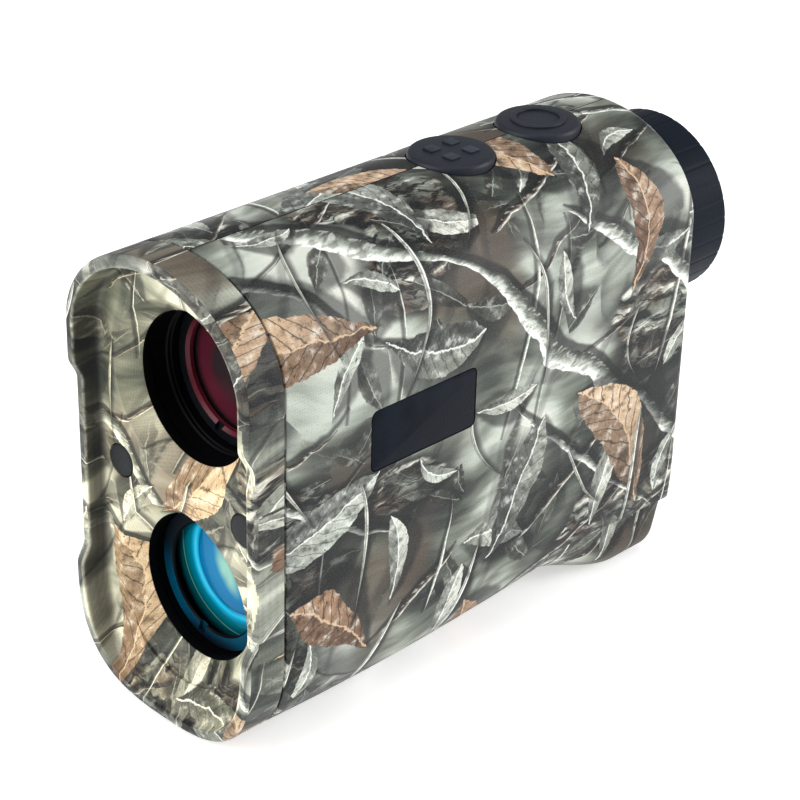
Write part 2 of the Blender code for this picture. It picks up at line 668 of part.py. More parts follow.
def make_battery():
    spot = (BATTERY_Y, BATTERY_Z)
    nub, nub_radius = 0.8 * MM, 3.0 * MM

    # Turns a profile of (radius, x) points about the battery's own axis
    def lying(profile, segments):
        bm = turned(profile, (0.0, 0.0), "Z", segments)
        for vertex in bm.verts:
            across_y, up, along = vertex.co
            vertex.co = (along, spot[0] + across_y, spot[1] + up)
        return bm

    end = BATTERY_HALF
    edge = 0.4 * MM
    profile = [(0.0, -end), (BATTERY_RADIUS - edge, -end), (BATTERY_RADIUS, edge - end)]
    profile += [(BATTERY_RADIUS, end - edge - nub), (BATTERY_RADIUS - edge, end - nub)]
    profile += [(nub_radius, end - nub), (nub_radius, end), (0.0, end)]
    shade(add("battery", lying(profile, 24), STEEL))

    arm = 15.4 * MM
    plate = [(0.0, arm - 0.4 * MM), (4.0 * MM, arm - 0.4 * MM), (4.0 * MM, arm), (0.0, arm)]
    dimple = [(0.0, end + GAP), (1.6 * MM, end + GAP), (2.2 * MM, arm - 0.2 * MM), (0.0, arm - 0.2 * MM)]
    contact = add("battery_contact", lying(plate, 20), STEEL)
    join(contact, lying(dimple, 16))
    shade(contact)

    turns, points_per_turn, wire = 2, 12, 0.25 * MM
    spring = bpy.data.curves.new("battery_spring", "CURVE")
    spring.dimensions = "3D"
    spring.bevel_depth = wire
    spring.bevel_resolution = 1
    spring.use_fill_caps = True
    count = turns * points_per_turn + 1
    path = spring.splines.new("POLY")
    path.points.add(count - 1)
    start = -end - GAP - wire
    for i, point in enumerate(path.points):
        angle = 2.0 * math.pi * i / points_per_turn
        share = i / (count - 1)
        radius = (2.6 + 1.6 * share) * MM
        x = start - 1.1 * MM * share
        point.co = (x, spot[0] + radius * math.cos(angle), spot[1] + radius * math.sin(angle), 1.0)
    spring.materials.append(material("battery_spring_material", *STEEL))
    coil = bpy.data.objects.new("battery_spring", spring)
    bpy.context.collection.objects.link(coil)

    # The tray wraps the cell past its middle, so that it clips in from below
    clip_from, clip_to, clip_steps = -30.0, 210.0, 14
    saddle = arc(spot, BATTERY_RADIUS + 2 * GAP, clip_from, clip_to, clip_steps)
    saddle += arc(spot, BATTERY_RADIUS + 1.8 * MM, clip_to, clip_from, clip_steps)
    tray = add("battery_tray", across(saddle, -13.0 * MM, 13.0 * MM), BLACK)
    reach = BATTERY_RADIUS + 1.8 * MM
    for side in (-1, 1):
        ends = sorted((side * (arm + GAP), side * (arm + 1.9 * MM)))
        low = (ends[0], spot[0] - reach, DOOR_TOP_Z + 2.6 * MM)
        high = (ends[1], spot[0] + reach, spot[1] + reach)
        join(tray, box(low, high))
        ends = sorted((side * 12.5 * MM, side * (arm + 1.0 * MM)))
        low = (ends[0], spot[0] - 4 * MM, spot[1] + BATTERY_RADIUS + 1.0 * MM)
        high = (ends[1], spot[0] + 4 * MM, spot[1] + reach)
        join(tray, box(low, high))
    shade(tray)


make_shell("left_shell", 1)
make_shell("right_shell", -1)
make_plate()
make_bezel()
make_plugs_and_screws()
make_port("objective", OPTIC_Z, OBJECTIVE_CELL_RADIUS, -36.7 * MM, 10.2 * MM, 9.7 * MM, RED_GLASS)
make_port("receiver", RECEIVER_Z, RECEIVER_CELL_RADIUS, -40.65 * MM, 9.4 * MM, 8.6 * MM, BLUE_GLASS)
make_bulkheads()
make_prisms()
make_electronics()
make_button("mode_button", MODE_Y)
make_button("power_button", POWER_Y)
make_eyepiece()
make_door()
make_battery()
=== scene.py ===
import math

import bmesh
import bpy
from mathutils import Matrix, Vector


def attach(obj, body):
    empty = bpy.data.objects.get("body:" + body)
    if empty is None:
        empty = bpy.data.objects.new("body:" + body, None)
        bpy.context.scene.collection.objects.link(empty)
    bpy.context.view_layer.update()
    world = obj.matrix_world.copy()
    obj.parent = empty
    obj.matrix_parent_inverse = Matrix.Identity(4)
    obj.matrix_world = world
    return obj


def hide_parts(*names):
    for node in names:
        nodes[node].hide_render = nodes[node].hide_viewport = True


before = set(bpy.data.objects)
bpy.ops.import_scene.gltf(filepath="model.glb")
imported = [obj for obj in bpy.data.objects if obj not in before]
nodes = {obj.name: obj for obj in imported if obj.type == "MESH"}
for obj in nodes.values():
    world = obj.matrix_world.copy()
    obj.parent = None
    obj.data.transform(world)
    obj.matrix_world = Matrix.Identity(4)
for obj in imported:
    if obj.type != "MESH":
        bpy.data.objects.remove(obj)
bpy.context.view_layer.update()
mm = 0.001
print("frame loaded with", len(nodes), "nodes")


def inMm(**sizes):  # sizes written in mm, kept in metres
    return {name: tuple(v * mm for v in size) if isinstance(size, tuple) else size * mm
            for name, size in sizes.items()}


# camera and lights

shot = {
    "place": (236.88, -245.51, 220.77),  # mm
    "right": (0.702835, 0.710957, 0.023732),
    "back": (0.61782, -0.626619, 0.475024),
    "lens": 106.663,
    "sensor": 36.0,
    "clip": 0.01,
}

cameraData = bpy.data.cameras.new("camera")
cameraData.lens = shot["lens"]
cameraData.sensor_width = shot["sensor"]
cameraData.sensor_fit = "HORIZONTAL"
cameraData.clip_start = shot["clip"]
camera = bpy.data.objects.new("camera", cameraData)
bpy.context.scene.collection.objects.link(camera)
right, back = Vector(shot["right"]), Vector(shot["back"])
turn = Matrix((right, back.cross(right), back)).transposed()
camera.matrix_world = Matrix.Translation(Vector(shot["place"]) * mm) @ turn.to_4x4()
bpy.context.scene.camera = camera

studio = {
    "boxes": [  # name, place, size, watts
        ("keyBox", (-0.25, -0.85, 0.65), 0.7, 9.0),
        ("rimBox", (0.75, 0.8, 0.5), 0.6, 9.0),
        ("topBox", (0.1, 0.1, 1.1), 0.8, 3.2),
    ],
    "aim": (0.0, 0.0, 0.04),
    "world": 0.42,
    "floor": 0.85,
    "floorMottle": 0.985,
    "floorRough": 0.8,
    "floorGlow": 0.5,
    "floorSize": 6.0,
}
for name, place, size, watts in studio["boxes"]:
    lamp = bpy.data.lights.new(name, "AREA")
    lamp.shape = "SQUARE"
    lamp.size = size
    lamp.energy = watts
    holder = bpy.data.objects.new(name, lamp)
    holder.location = place
    holder.rotation_euler = (Vector(place) - Vector(studio["aim"])).to_track_quat("Z", "Y").to_euler()
    bpy.context.scene.collection.objects.link(holder)

world = bpy.data.worlds.new("studioAir")
world.use_nodes = True
world.node_tree.nodes["Background"].inputs["Color"].default_value = (1.0, 1.0, 1.0, 1.0)
world.node_tree.nodes["Background"].inputs["Strength"].default_value = studio["world"]
bpy.context.scene.world = world
bpy.context.scene.view_settings.view_transform = "Standard"

# node helpers, all at work on the finish that startFinish opened last

bench = {}


def startFinish(name):
    finish = bpy.data.materials.new(name)
    finish.use_nodes = True
    bench["tree"] = finish.node_tree
    return finish, finish.node_tree.nodes["Principled BSDF"]


def feed(value, socket):
    if isinstance(value, bpy.types.NodeSocket):
        bench["tree"].links.new(value, socket)
    elif socket.type == "RGBA":
        socket.default_value = (*value[:3], 1.0)
    else:
        socket.default_value = value


def setSockets(node, values):
    for name, value in values.items():
        feed(value, node.inputs[name])
    return node


def addNode(kind, *values, **settings):
    node = bench["tree"].nodes.new("ShaderNode" + kind)
    for name, setting in settings.items():
        setattr(node, name, setting)
    for value, socket in zip(values, node.inputs):
        feed(value, socket)
    return node


def calc(operation, *values):
    return addNode("Math", *values, operation=operation).outputs[0]


def times(first, *others):
    for other in others:
        first = calc("MULTIPLY", first, other)
    return first


def plus(first, *others):
    for other in others:
        first = calc("ADD", first, other)
    return first


def minus(first, second):
    return calc("SUBTRACT", first, second)


def between(share, low, high):
    return calc("MULTIPLY_ADD", share, high - low, low)


def moved(operation, *values):
    return addNode("VectorMath", *values, operation=operation).outputs[0]


def layer(amount, below, above, mode="MIX"):
    node = addNode("Mix", data_type="RGBA", blend_type=mode)
    for value, place in ((amount, 0), (below, 6), (above, 7)):  # a mix keeps its colours at 6 and 7
        feed(value, node.inputs[place])
    return node.outputs[2]


def fade(value, low, high, most=1.0, least=0.0):
    return addNode("MapRange", value, low, high, least, most, interpolation_type="SMOOTHSTEP").outputs[0]


def gloss(tone, low, high):  # a roughness that drifts between two values
    return fade(tone, 0.3, 0.7, high, low)


def clouds(where, scale, detail=2.0, rough=0.5, output="Fac"):
    values = {"Vector": where, "Scale": scale, "Detail": detail, "Roughness": rough}
    return setSockets(addNode("TexNoise"), values).outputs[output]


def mapped(where, turnDegrees=0.0, stretch=(1.0, 1.0, 1.0), shift=(0.0, 0.0, 0.0)):
    return addNode("Mapping", where, shift, (0.0, 0.0, math.radians(turnDegrees)), stretch).outputs[0]


def parts(vector):
    return addNode("SeparateXYZ", vector).outputs


def wobbled(where, scale, reach, detail=2.0):
    drift = moved("SUBTRACT", clouds(where, scale, detail, 0.55, "Color"), (0.5, 0.5, 0.5))
    return moved("ADD", where, moved("MULTIPLY", drift, (reach, reach, 0.0)))


def tint(*screen):  # an everyday screen colour, 0 to 255, as the shader wants it
    shares = [c / 255 for c in screen]
    return tuple(s / 12.92 if s < 0.0404 else ((s + 0.055) / 1.055) ** 2.4 for s in shares)


def rampColour(place, stops):
    node = addNode("ValToRGB", place)
    bands = node.color_ramp.elements
    while len(bands) < len(stops):
        bands.new(0.5)
    for band, (spot, colour) in zip(bands, stops):
        band.position = spot
        band.color = (*colour, 1.0)
    return node.outputs[0]


def objectSpot():
    return addNode("TexCoord").outputs["Object"]


def painted(name):  # a value that the mesh carries at its corners
    return addNode("Attribute", attribute_name=name).outputs["Fac"]


bumpDepth = inMm(moulded=0.2, polished=0.1)


def roughen(shader, height, strength, distance):
    bump = setSockets(addNode("Bump"), {"Strength": strength, "Distance": distance, "Height": height})
    feed(bump.outputs["Normal"], shader.inputs["Normal"])


# the dipped print, on the "wrap" map in mm: blurred ground, stone crust, branches, leaves and grass

forest = {
    "night": tint(26, 29, 32), "shade": tint(48, 52, 54), "moss": tint(86, 91, 85),
    "sage": tint(130, 134, 126), "mist": tint(184, 188, 180), "pale": tint(209, 209, 201),
    "frost": tint(225, 225, 220), "bark": tint(108, 96, 86), "soil": tint(50, 43, 39),
    "rust": tint(96, 74, 60), "tan": tint(160, 134, 112), "sand": tint(206, 186, 162),
}


def stain(below, amount, name):
    return layer(amount, below, forest[name])


def relief(where, scale, detail, step, gain):  # light from one side on a rough surface, about 0.5
    lit = clouds(where, scale, detail, 0.6)
    dim = clouds(moved("ADD", where, (step, -step * 1.3, 0.0)), scale, detail, 0.6)
    return calc("MULTIPLY_ADD", minus(lit, dim), gain, 0.5)


# leaves and branches; the tuples are in the order that clouds, relief and fade take them

blade = {
    "sizes": (0.6, 1.05),  # smallest and largest, against a kind's own length and width
    "raggedDetail": (4.0, 0.6),
    "driftEdge": (0.42, 0.56),
    "shadowLean": 0.55,
    "shadowEdge": 0.1,
    "dimHalf": 0.55,
    "dimBase": (0.4, -1.0, 0.75),
    "crease": (0.4, 5.0, 0.5, 1.5),
    "creaseDark": (0.5, 0.2, 0.6),
    "creaseLit": (0.5, 0.85, 0.55),
    "ribEdge": 0.3,
    "ribShare": 0.8,
    "spots": (1.1, 3.0, 0.7),
    "spotEdge": (0.6, 0.68, 0.7),
}


def leafLayer(where, below, look, busy):
    # each cell of a loose scatter gives one leaf its place, turn, size and tint
    where = mapped(where, look["grid"], shift=look["shift"])
    scatter = {"Vector": where, "Scale": 1.0 / look["apart"], "Randomness": look["loose"]}
    cell = setSockets(addNode("TexVoronoi", voronoi_dimensions="2D", feature="F1"), scatter).outputs
    lots = addNode("SeparateColor", cell["Color"]).outputs
    chance = addNode("TexWhiteNoise", cell["Color"], noise_dimensions="3D").outputs["Value"]
    turned = addNode("VectorRotate", moved("SUBTRACT", where, cell["Position"]), rotation_type="Z_AXIS")
    feed(between(lots[0], *(math.radians(angle) for angle in look["turns"])), turned.inputs["Angle"])
    along, side, _ = parts(turned.outputs[0])
    size = between(lots[1], *blade["sizes"])
    along = calc("DIVIDE", along, times(size, look["length"]))
    curve = times(along, along, times(minus(lots[2], 0.5), look["bend"]))
    ragged = minus(clouds(where, look["raggedScale"], *blade["raggedDetail"]), 0.5)
    side = plus(side, curve, times(ragged, look["ragged"]))
    reach = calc("ABSOLUTE", side)
    swell = calc("MULTIPLY_ADD", along, look["taper"], 1.0)
    width = times(minus(1.0, times(along, along)), swell, times(size, look["width"]))
    inside = minus(width, reach)
    shown = calc("LESS_THAN", chance, min(look["share"] * busy, 1.0))
    if "drifts" in look:  # only in loose drifts
        shown = times(shown, fade(clouds(where, look["drifts"]), *blade["driftEdge"]))
    run = minus(times(along, look["veins"]), times(reach, look["slant"]))
    vein = calc("ABSOLUTE", minus(calc("FRACT", run), 0.5))
    mask = times(fade(inside, 0.0, look["edge"]), shown, look["solid"])
    under = plus(inside, times(side, blade["shadowLean"]))
    shadow = times(fade(under, -look["shadow"], blade["shadowEdge"]), shown)
    result = stain(below, times(shadow, look["dark"]), "night")
    # the blade of the leaf: tint by lot, one half lit, crinkled, veined, spotted
    first, second, deep = (forest[name] for name in look["colours"])
    body = layer(lots[1], first, second)
    rib = look["rib"]
    body = layer(fade(side, rib, -rib, blade["dimHalf"]), body, deep)
    body = layer(fade(along, *blade["dimBase"]), body, deep)
    crease = relief(where, *blade["crease"])
    body = stain(body, fade(crease, *blade["creaseDark"]), "soil")
    body = stain(body, fade(crease, *blade["creaseLit"]), "frost")
    body = stain(body, fade(vein, 0.1, 0.0, look["veinDepth"]), "soil")
    body = stain(body, fade(reach, rib, rib * blade["ribEdge"], blade["ribShare"]), look["ribColour"])
    body = stain(body, fade(clouds(where, *blade["spots"]), *blade["spotEdge"]), "soil")
    return layer(mask, result, body)


limb = {
    "crookScale": 0.16,
    "laneSpread": (0.25, 0.75),
    "laneSeed": 7.31,
    "knobScale": 0.7,
    "least": 0.04,
    "thinnest": 0.05,
    "shadowEdge": 0.1,
    "round": (-0.9, 0.5),
    "lit": (0.0, 0.75, 0.9),
    "barkStretch": (0.35, 1.0, 1.0),
    "bark": (1.5, 3.0, 0.25, 2.4),
    "barkDark": (0.45, 0.15),
    "barkLit": (0.55, 0.9),
}


def branchLayer(where, below, look):
    # lanes of a bent ruling: each lane may carry a branch, lit on one side and shaded on the other
    bent = wobbled(wobbled(where, *look["sway"]), limb["crookScale"], look["crook"])
    u, v, _ = parts(mapped(bent, look["turn"], shift=look["shift"]))
    lane = calc("DIVIDE", v, look["apart"])
    index = calc("FLOOR", lane)
    lot = setSockets(addNode("TexWhiteNoise", noise_dimensions="1D"), {"W": index}).outputs["Value"]
    local = times(minus(calc("FRACT", lane), between(lot, *limb["laneSpread"])), look["apart"])
    run = addNode("CombineXYZ", times(u, look["runs"]), times(index, limb["laneSeed"])).outputs[0]
    thick = times(fade(clouds(run, 1.0, 1.0), *look["cover"]), between(lot, *look["thick"]))
    knobs = times(minus(clouds(where, limb["knobScale"]), 0.5), look["knobs"])
    core = minus(plus(thick, times(knobs, thick)), calc("ABSOLUTE", local))
    there = calc("GREATER_THAN", thick, limb["least"])
    across = calc("DIVIDE", local, calc("MAXIMUM", thick, limb["thinnest"]))
    under = minus(thick, calc("ABSOLUTE", plus(local, look["drop"])))
    shadow = times(fade(under, -look["soft"], limb["shadowEdge"]), there)
    result = stain(below, times(shadow, look["dark"]), "night")
    dim, plain, lit = (forest[name] for name in look["colours"])
    body = layer(fade(across, *limb["round"]), dim, plain)
    body = layer(fade(across, *limb["lit"]), body, lit)
    bark = relief(mapped(bent, look["turn"], limb["barkStretch"]), *limb["bark"])
    body = stain(body, fade(bark, *limb["barkDark"], look["rough"]), "soil")
    body = stain(body, fade(bark, *limb["barkLit"], look["rough"]), "frost")
    return layer(times(fade(core, 0.0, look["edge"]), there, look["solid"]), result, body)


branches = {
    "farBranches": dict(
        sway=(0.02, 16.0), crook=2.0, turn=66.0, shift=(31.0, 7.0, 0.0), apart=7.0, runs=0.02,
        thick=(0.3, 1.3), cover=(0.42, 0.6), knobs=0.3, drop=0.6, soft=0.9, dark=0.3, rough=0.2,
        edge=0.7, solid=0.8, colours=("shade", "moss", "sage")),
    "twigs": dict(
        sway=(0.03, 14.0), crook=1.8, turn=24.0, shift=(70.0, 11.0, 0.0), apart=9.0, runs=0.03,
        thick=(0.16, 0.6), cover=(0.45, 0.6), knobs=0.5, drop=0.5, soft=0.4, dark=0.7, rough=0.4,
        edge=0.12, solid=1.0, colours=("soil", "bark", "pale")),
    "stalks": dict(
        sway=(0.02, 12.0), crook=0.8, turn=78.0, shift=(11.0, 29.0, 0.0), apart=10.0, runs=0.025,
        thick=(0.12, 0.42), cover=(0.46, 0.6), knobs=0.3, drop=0.4, soft=0.4, dark=0.6, rough=0.2,
        edge=0.1, solid=1.0, colours=("sage", "pale", "frost")),
    "paleBranches": dict(
        sway=(0.018, 26.0), crook=2.2, turn=-38.0, shift=(3.0, 40.0, 0.0), apart=17.0, runs=0.016,
        thick=(0.5, 1.7), cover=(0.43, 0.56), knobs=0.35, drop=0.8, soft=0.45, dark=0.75, rough=0.4,
        edge=0.15, solid=1.0, colours=("moss", "mist", "frost")),
}
leaves = {
    "litter": dict(
        grid=29.0, shift=(4.0, 8.0, 0.0), apart=7.5, loose=0.8, length=5.6, width=1.9,
        turns=(-180.0, 180.0), bend=2.0, taper=0.3, ragged=0.9, raggedScale=0.7, share=0.8, drifts=0.045,
        shadow=0.5, dark=0.6, veins=3.0, slant=0.8, edge=0.25, rib=0.12, veinDepth=0.3, solid=0.75,
        ribColour="mist", colours=("moss", "sage", "soil")),
    "smallLeaves": dict(
        grid=41.0, shift=(2.0, 19.0, 0.0), apart=14.0, loose=0.6, length=7.0, width=2.1,
        turns=(-170.0, 170.0), bend=3.5, taper=0.3, ragged=1.0, raggedScale=0.6, share=0.38,
        shadow=0.45, dark=0.62, veins=4.0, slant=0.8, edge=0.12, rib=0.16, veinDepth=0.35, solid=1.0,
        ribColour="frost", colours=("mist", "pale", "moss")),
    "greyLeaves": dict(
        grid=22.0, shift=(27.0, 14.0, 0.0), apart=30.0, loose=0.5, length=14.0, width=4.4,
        turns=(-60.0, 120.0), bend=6.0, taper=0.35, ragged=2.2, raggedScale=0.3, share=0.5,
        shadow=0.6, dark=0.6, veins=5.0, slant=0.5, edge=0.14, rib=0.2, veinDepth=0.5, solid=1.0,
        ribColour="frost", colours=("sage", "mist", "shade")),
    "brownLeaves": dict(
        grid=63.0, shift=(9.0, 3.0, 0.0), apart=33.0, loose=0.5, length=14.0, width=4.6,
        turns=(-20.0, 250.0), bend=7.0, taper=0.4, ragged=2.6, raggedScale=0.28, share=0.5,
        shadow=0.6, dark=0.65, veins=5.0, slant=0.45, edge=0.14, rib=0.2, veinDepth=0.75, solid=1.0,
        ribColour="sand", colours=("tan", "sand", "rust")),
    "grass": dict(
        grid=8.0, shift=(5.0, 11.0, 0.0), apart=17.0, loose=0.7, length=13.0, width=0.42,
        turns=(50.0, 125.0), bend=7.0, taper=0.5, ragged=0.25, raggedScale=0.4, share=0.6,
        shadow=0.4, dark=0.7, veins=0.0, slant=0.0, edge=0.12, rib=0.12, veinDepth=0.0, solid=1.0,
        ribColour="sage", colours=("pale", "frost", "sage")),
}
ground = {
    "drift": (0.022, 22.0), "pools": 0.034, "poolShare": 0.7,
    "streakTurn": 62.0, "streakStretch": (0.2, 1.0, 1.0), "streaks": (0.22, 3.0, 0.55), "streakShare": 0.3,
    "tones": [(0.33, "night"), (0.4, "shade"), (0.455, "moss"), (0.505, "sage"), (0.565, "mist"),
              (0.65, "pale")],
    "earth": 0.04, "earthShift": (60.0, 20.0, 0.0), "earthEdge": (0.52, 0.66, 0.7),
}
stone = {
    "warp": (0.2, 4.0, 3.0), "flake": (0.3, 1.0, 1.0), "lichen": (0.16, 3.0), "lichenEdge": (0.4, 0.62),
    "plateStretch": (1.6, 1.0, 1.0), "plates": (0.2, 4.0, 1.2, 1.6), "rough": (0.55, 6.0, 0.5, 1.7),
    "dark": (0.55, 0.2, 0.95), "lit": (0.55, 0.95, 0.95), "cracks": (0.4, 3.0),
    "crackEdge": (0.035, 0.005, 0.9),
    "patchStretch": (0.55, 1.0, 1.0), "patchShift": (12.0, 47.0, 0.0), "patchWarp": (0.12, 6.0, 4.0),
    "patch": (0.033, 1.0), "patchEdge": (0.54, 0.55), "patchShadow": (0.505, 0.545, 0.7),
}
film = {
    "specks": (5.0, 2.0, 0.75), "speckDark": (0.5, 0.72, 0.32), "speckLit": (0.5, 0.28, 0.07),
    "dotTurn": 45.0, "dotPitch": (13.0, 13.0, 1.0), "dots": (-0.3, 0.9, 0.16),
    "rub": (0.6, 4.0, 0.7), "rubEdge": (0.35, 0.6), "rubShare": 0.7, "paintedShadeShare": 0.82,
    "sheen": (90.0, 3.0), "rough": (0.38, 0.48), "shine": 0.2, "grain": (1500.0, 2.0, 0.6), "bump": 0.1,
}


def printFinish(name, look):
    finish, shader = startFinish(name)
    sheet = addNode("UVMap", uv_map="wrap").outputs[0]
    where = mapped(sheet, 0.0, (look["scale"], look["scale"], 1.0), look["shift"])
    # blurred ground, in streaks and pools of light
    g, st = ground, stone
    drift = wobbled(where, *g["drift"])
    streaks = clouds(mapped(drift, g["streakTurn"], g["streakStretch"]), *g["streaks"])
    tone = calc("MULTIPLY_ADD", streaks, g["streakShare"], times(clouds(drift, g["pools"]), g["poolShare"]))
    colour = rampColour(plus(tone, look["lighter"]), [(spot, forest[shade]) for spot, shade in g["tones"]])
    earth = clouds(mapped(where, shift=g["earthShift"]), g["earth"])
    colour = stain(colour, fade(earth, *g["earthEdge"]), "bark")
    colour = branchLayer(where, colour, branches["farBranches"])
    # stone with a flaked, lichened crust
    grain = mapped(wobbled(where, *st["warp"]), look["flakeTurn"], st["flake"])
    crust = layer(fade(clouds(where, *st["lichen"]), *st["lichenEdge"]), forest["bark"], forest["sage"])
    plates = relief(mapped(grain, 0.0, st["plateStretch"]), *st["plates"])
    rough = plus(relief(grain, *st["rough"]), minus(plates, 0.5))
    crust = stain(crust, fade(rough, *st["dark"]), "night")
    crust = stain(crust, fade(rough, *st["lit"]), "pale")
    crack = calc("ABSOLUTE", minus(clouds(grain, *st["cracks"]), 0.5))
    crust = stain(crust, fade(crack, *st["crackEdge"]), "night")
    shape = wobbled(mapped(where, look["flakeTurn"], st["patchStretch"], st["patchShift"]), *st["patchWarp"])
    patch = clouds(shape, *st["patch"])
    colour = stain(colour, fade(patch, *st["patchShadow"]), "night")
    colour = layer(fade(patch, *st["patchEdge"]), colour, crust)
    colour = leafLayer(where, colour, leaves["litter"], look["busy"])
    for kind in ("twigs", "stalks", "paleBranches"):
        colour = branchLayer(where, colour, branches[kind])
    for kind in ("smallLeaves", "greyLeaves", "brownLeaves", "grass"):
        colour = leafLayer(where, colour, leaves[kind], look["busy"])
    colour = addNode("Gamma", colour, look["depth"]).outputs[0]
    colour = layer(1.0, colour, look["cast"], "MULTIPLY")
    # the film itself: ink specks and a screen of fine dots
    specks = clouds(where, *film["specks"])
    colour = stain(colour, fade(specks, *film["speckDark"]), "night")
    colour = stain(colour, fade(specks, *film["speckLit"]), "pale")
    across, down, _ = parts(mapped(sheet, film["dotTurn"], film["dotPitch"]))
    dots = times(calc("SINE", across), calc("SINE", down))
    colour = stain(colour, fade(dots, *film["dots"]), "night")
    # bare edges where hands rub, partly a painted highlight along the bezel lip's edges, and painted shade
    # down the steep inner walls of the recess
    rub = times(painted("wear"), fade(clouds(where, *film["rub"]), *film["rubEdge"]))
    colour = stain(colour, times(rub, film["rubShare"]), "pale")
    colour = stain(colour, times(painted("paintedShade"), film["paintedShadeShare"]), "night")
    spot = objectSpot()
    rough = gloss(clouds(spot, *film["sheen"]), *film["rough"])
    setSockets(shader, {"Base Color": colour, "Roughness": rough, "Specular IOR Level": film["shine"]})
    roughen(shader, clouds(spot, *film["grain"]), film["bump"], bumpDepth["moulded"])
    return finish


printLooks = {
    "shellPrint": dict(
        shift=(0.0, 0.0, 0.0), scale=0.85, flakeTurn=28.0, lighter=0.012, depth=1.4, busy=1.0,
        cast=(1.47, 1.49, 1.5)),
    "bezelPrint": dict(
        shift=(173.0, 61.0, 0.0), scale=1.0, flakeTurn=-20.0, lighter=0.01, depth=1.25, busy=1.3,
        cast=(1.32, 1.31, 1.25)),
    # the recess panel: the bezel's print made lighter, painted light to make up for the shade in the recess
    "panelPrint": dict(
        shift=(173.0, 61.0, 0.0), scale=1.0, flakeTurn=-20.0, lighter=0.05, depth=1.08, busy=1.5,
        cast=(1.82, 1.71, 1.4)),
}
made = {name: printFinish(name, look) for name, look in printLooks.items()}
print("print finishes ready")

# plain finishes with grain: what a finish doesn't say is as in plainLook

plainLook = dict(broad=120.0, varied=0.12, stretch=(1, 1, 1), speckle=0.25, metal=0.0, shine=0.4)
moulded = dict(broadDetail=3.0, drift=(0.3, 0.7), fineDetail=(2.0, 0.6), speckEdge=(0.35, 0.7), speckGain=1.8,
               unlit=(4, 6, 8), leastLit=0.07, corner=(0.515, 0.58), rubEdge=(0.35, 0.6), rubShare=0.6)
finishes = {
    "rubber": dict(colour=(24, 29, 38), rough=(0.42, 0.54), grain=2600.0, bump=0.25,
                   wear=(66, 73, 84), shine=0.27),
    "darkPlastic": dict(colour=(19, 25, 34), rough=(0.4, 0.5), grain=2200.0, bump=0.2,
                        wear=(52, 60, 72), shine=0.05),
    "platePlastic": dict(colour=(12, 17, 25), rough=(0.4, 0.5), grain=2200.0, bump=0.2,
                         wear=(44, 52, 64), shine=0.04),
    "innerPlastic": dict(colour=(24, 24, 26), varied=0.15, rough=(0.5, 0.65), grain=1800.0, bump=0.2),
    "anodised": dict(colour=(15, 17, 21), varied=0.2, rough=(0.28, 0.4), grain=3000.0, bump=0.1, shine=0.25),
    "portBlack": dict(colour=(6, 6, 8), varied=0.2, rough=(0.4, 0.55), grain=3000.0, bump=0.15, shine=0.05),
    "redBore": dict(colour=(86, 22, 36), varied=0.2, rough=(0.3, 0.4), grain=2500.0, bump=0.1, shine=0.2),
    # the blue ring: full colour in a band, painted shade above and below it
    "blueRing": dict(colour=(0, 54, 76), varied=0.45, broad=70.0, rough=(0.35, 0.5), grain=3800.0,
                     bump=0.35, speckle=0.7, shine=0.05, lit=(10.0, 13.5, 17.0, 25.0)),
    "plugRubber": dict(colour=(40, 42, 44), varied=0.15, rough=(0.5, 0.6), grain=2600.0, bump=0.25,
                       shine=0.12),
    "steel": dict(colour=(178, 178, 180), varied=0.08, rough=(0.25, 0.4), grain=1500.0, bump=0.1, metal=1.0,
                  stretch=(1.0, 0.1, 1.0)),
    "board": dict(colour=(28, 96, 52), varied=0.15, rough=(0.35, 0.5), grain=700.0, bump=0.3),
}


def grainedFinish(name, ownLook):
    look = {**plainLook, **ownLook}
    finish, shader = startFinish(name)
    spot = objectSpot()
    broad = clouds(spot, look["broad"], moulded["broadDetail"])
    gains = (1.0 - look["varied"], 1.0 + look["varied"], moulded["speckGain"])
    darker, lighter, bright = (tuple(c * gain for c in tint(*look["colour"])) for gain in gains)
    colour = layer(fade(broad, *moulded["drift"]), darker, lighter)
    fine = clouds(mapped(spot, 0.0, look["stretch"]), look["grain"], *moulded["fineDetail"])
    colour = layer(fade(fine, *moulded["speckEdge"], look["speckle"]), colour, bright)
    if "lit" in look:  # painted shade: full colour between two heights, in mm, and near black above and below
        foot, lowEnd, highEnd, head = (height * mm for height in look["lit"])
        height = parts(spot)[2]
        shown = times(fade(height, foot, lowEnd), fade(height, head, highEnd))
        colour = layer(between(shown, moulded["leastLit"], 1.0), tint(*moulded["unlit"]), colour)
    if "wear" in look:  # rubbed corners
        corner = addNode("NewGeometry").outputs["Pointiness"]
        rub = times(fade(corner, *moulded["corner"]), fade(broad, *moulded["rubEdge"]))
        colour = layer(times(rub, moulded["rubShare"]), colour, tint(*look["wear"]))
    setSockets(shader, {"Base Color": colour, "Roughness": gloss(broad, *look["rough"]),
                        "Metallic": look["metal"], "Specular IOR Level": look["shine"]})
    roughen(shader, fine, look["bump"], bumpDepth["moulded"])
    return finish


for name, look in finishes.items():
    made[name] = grainedFinish(name, look)
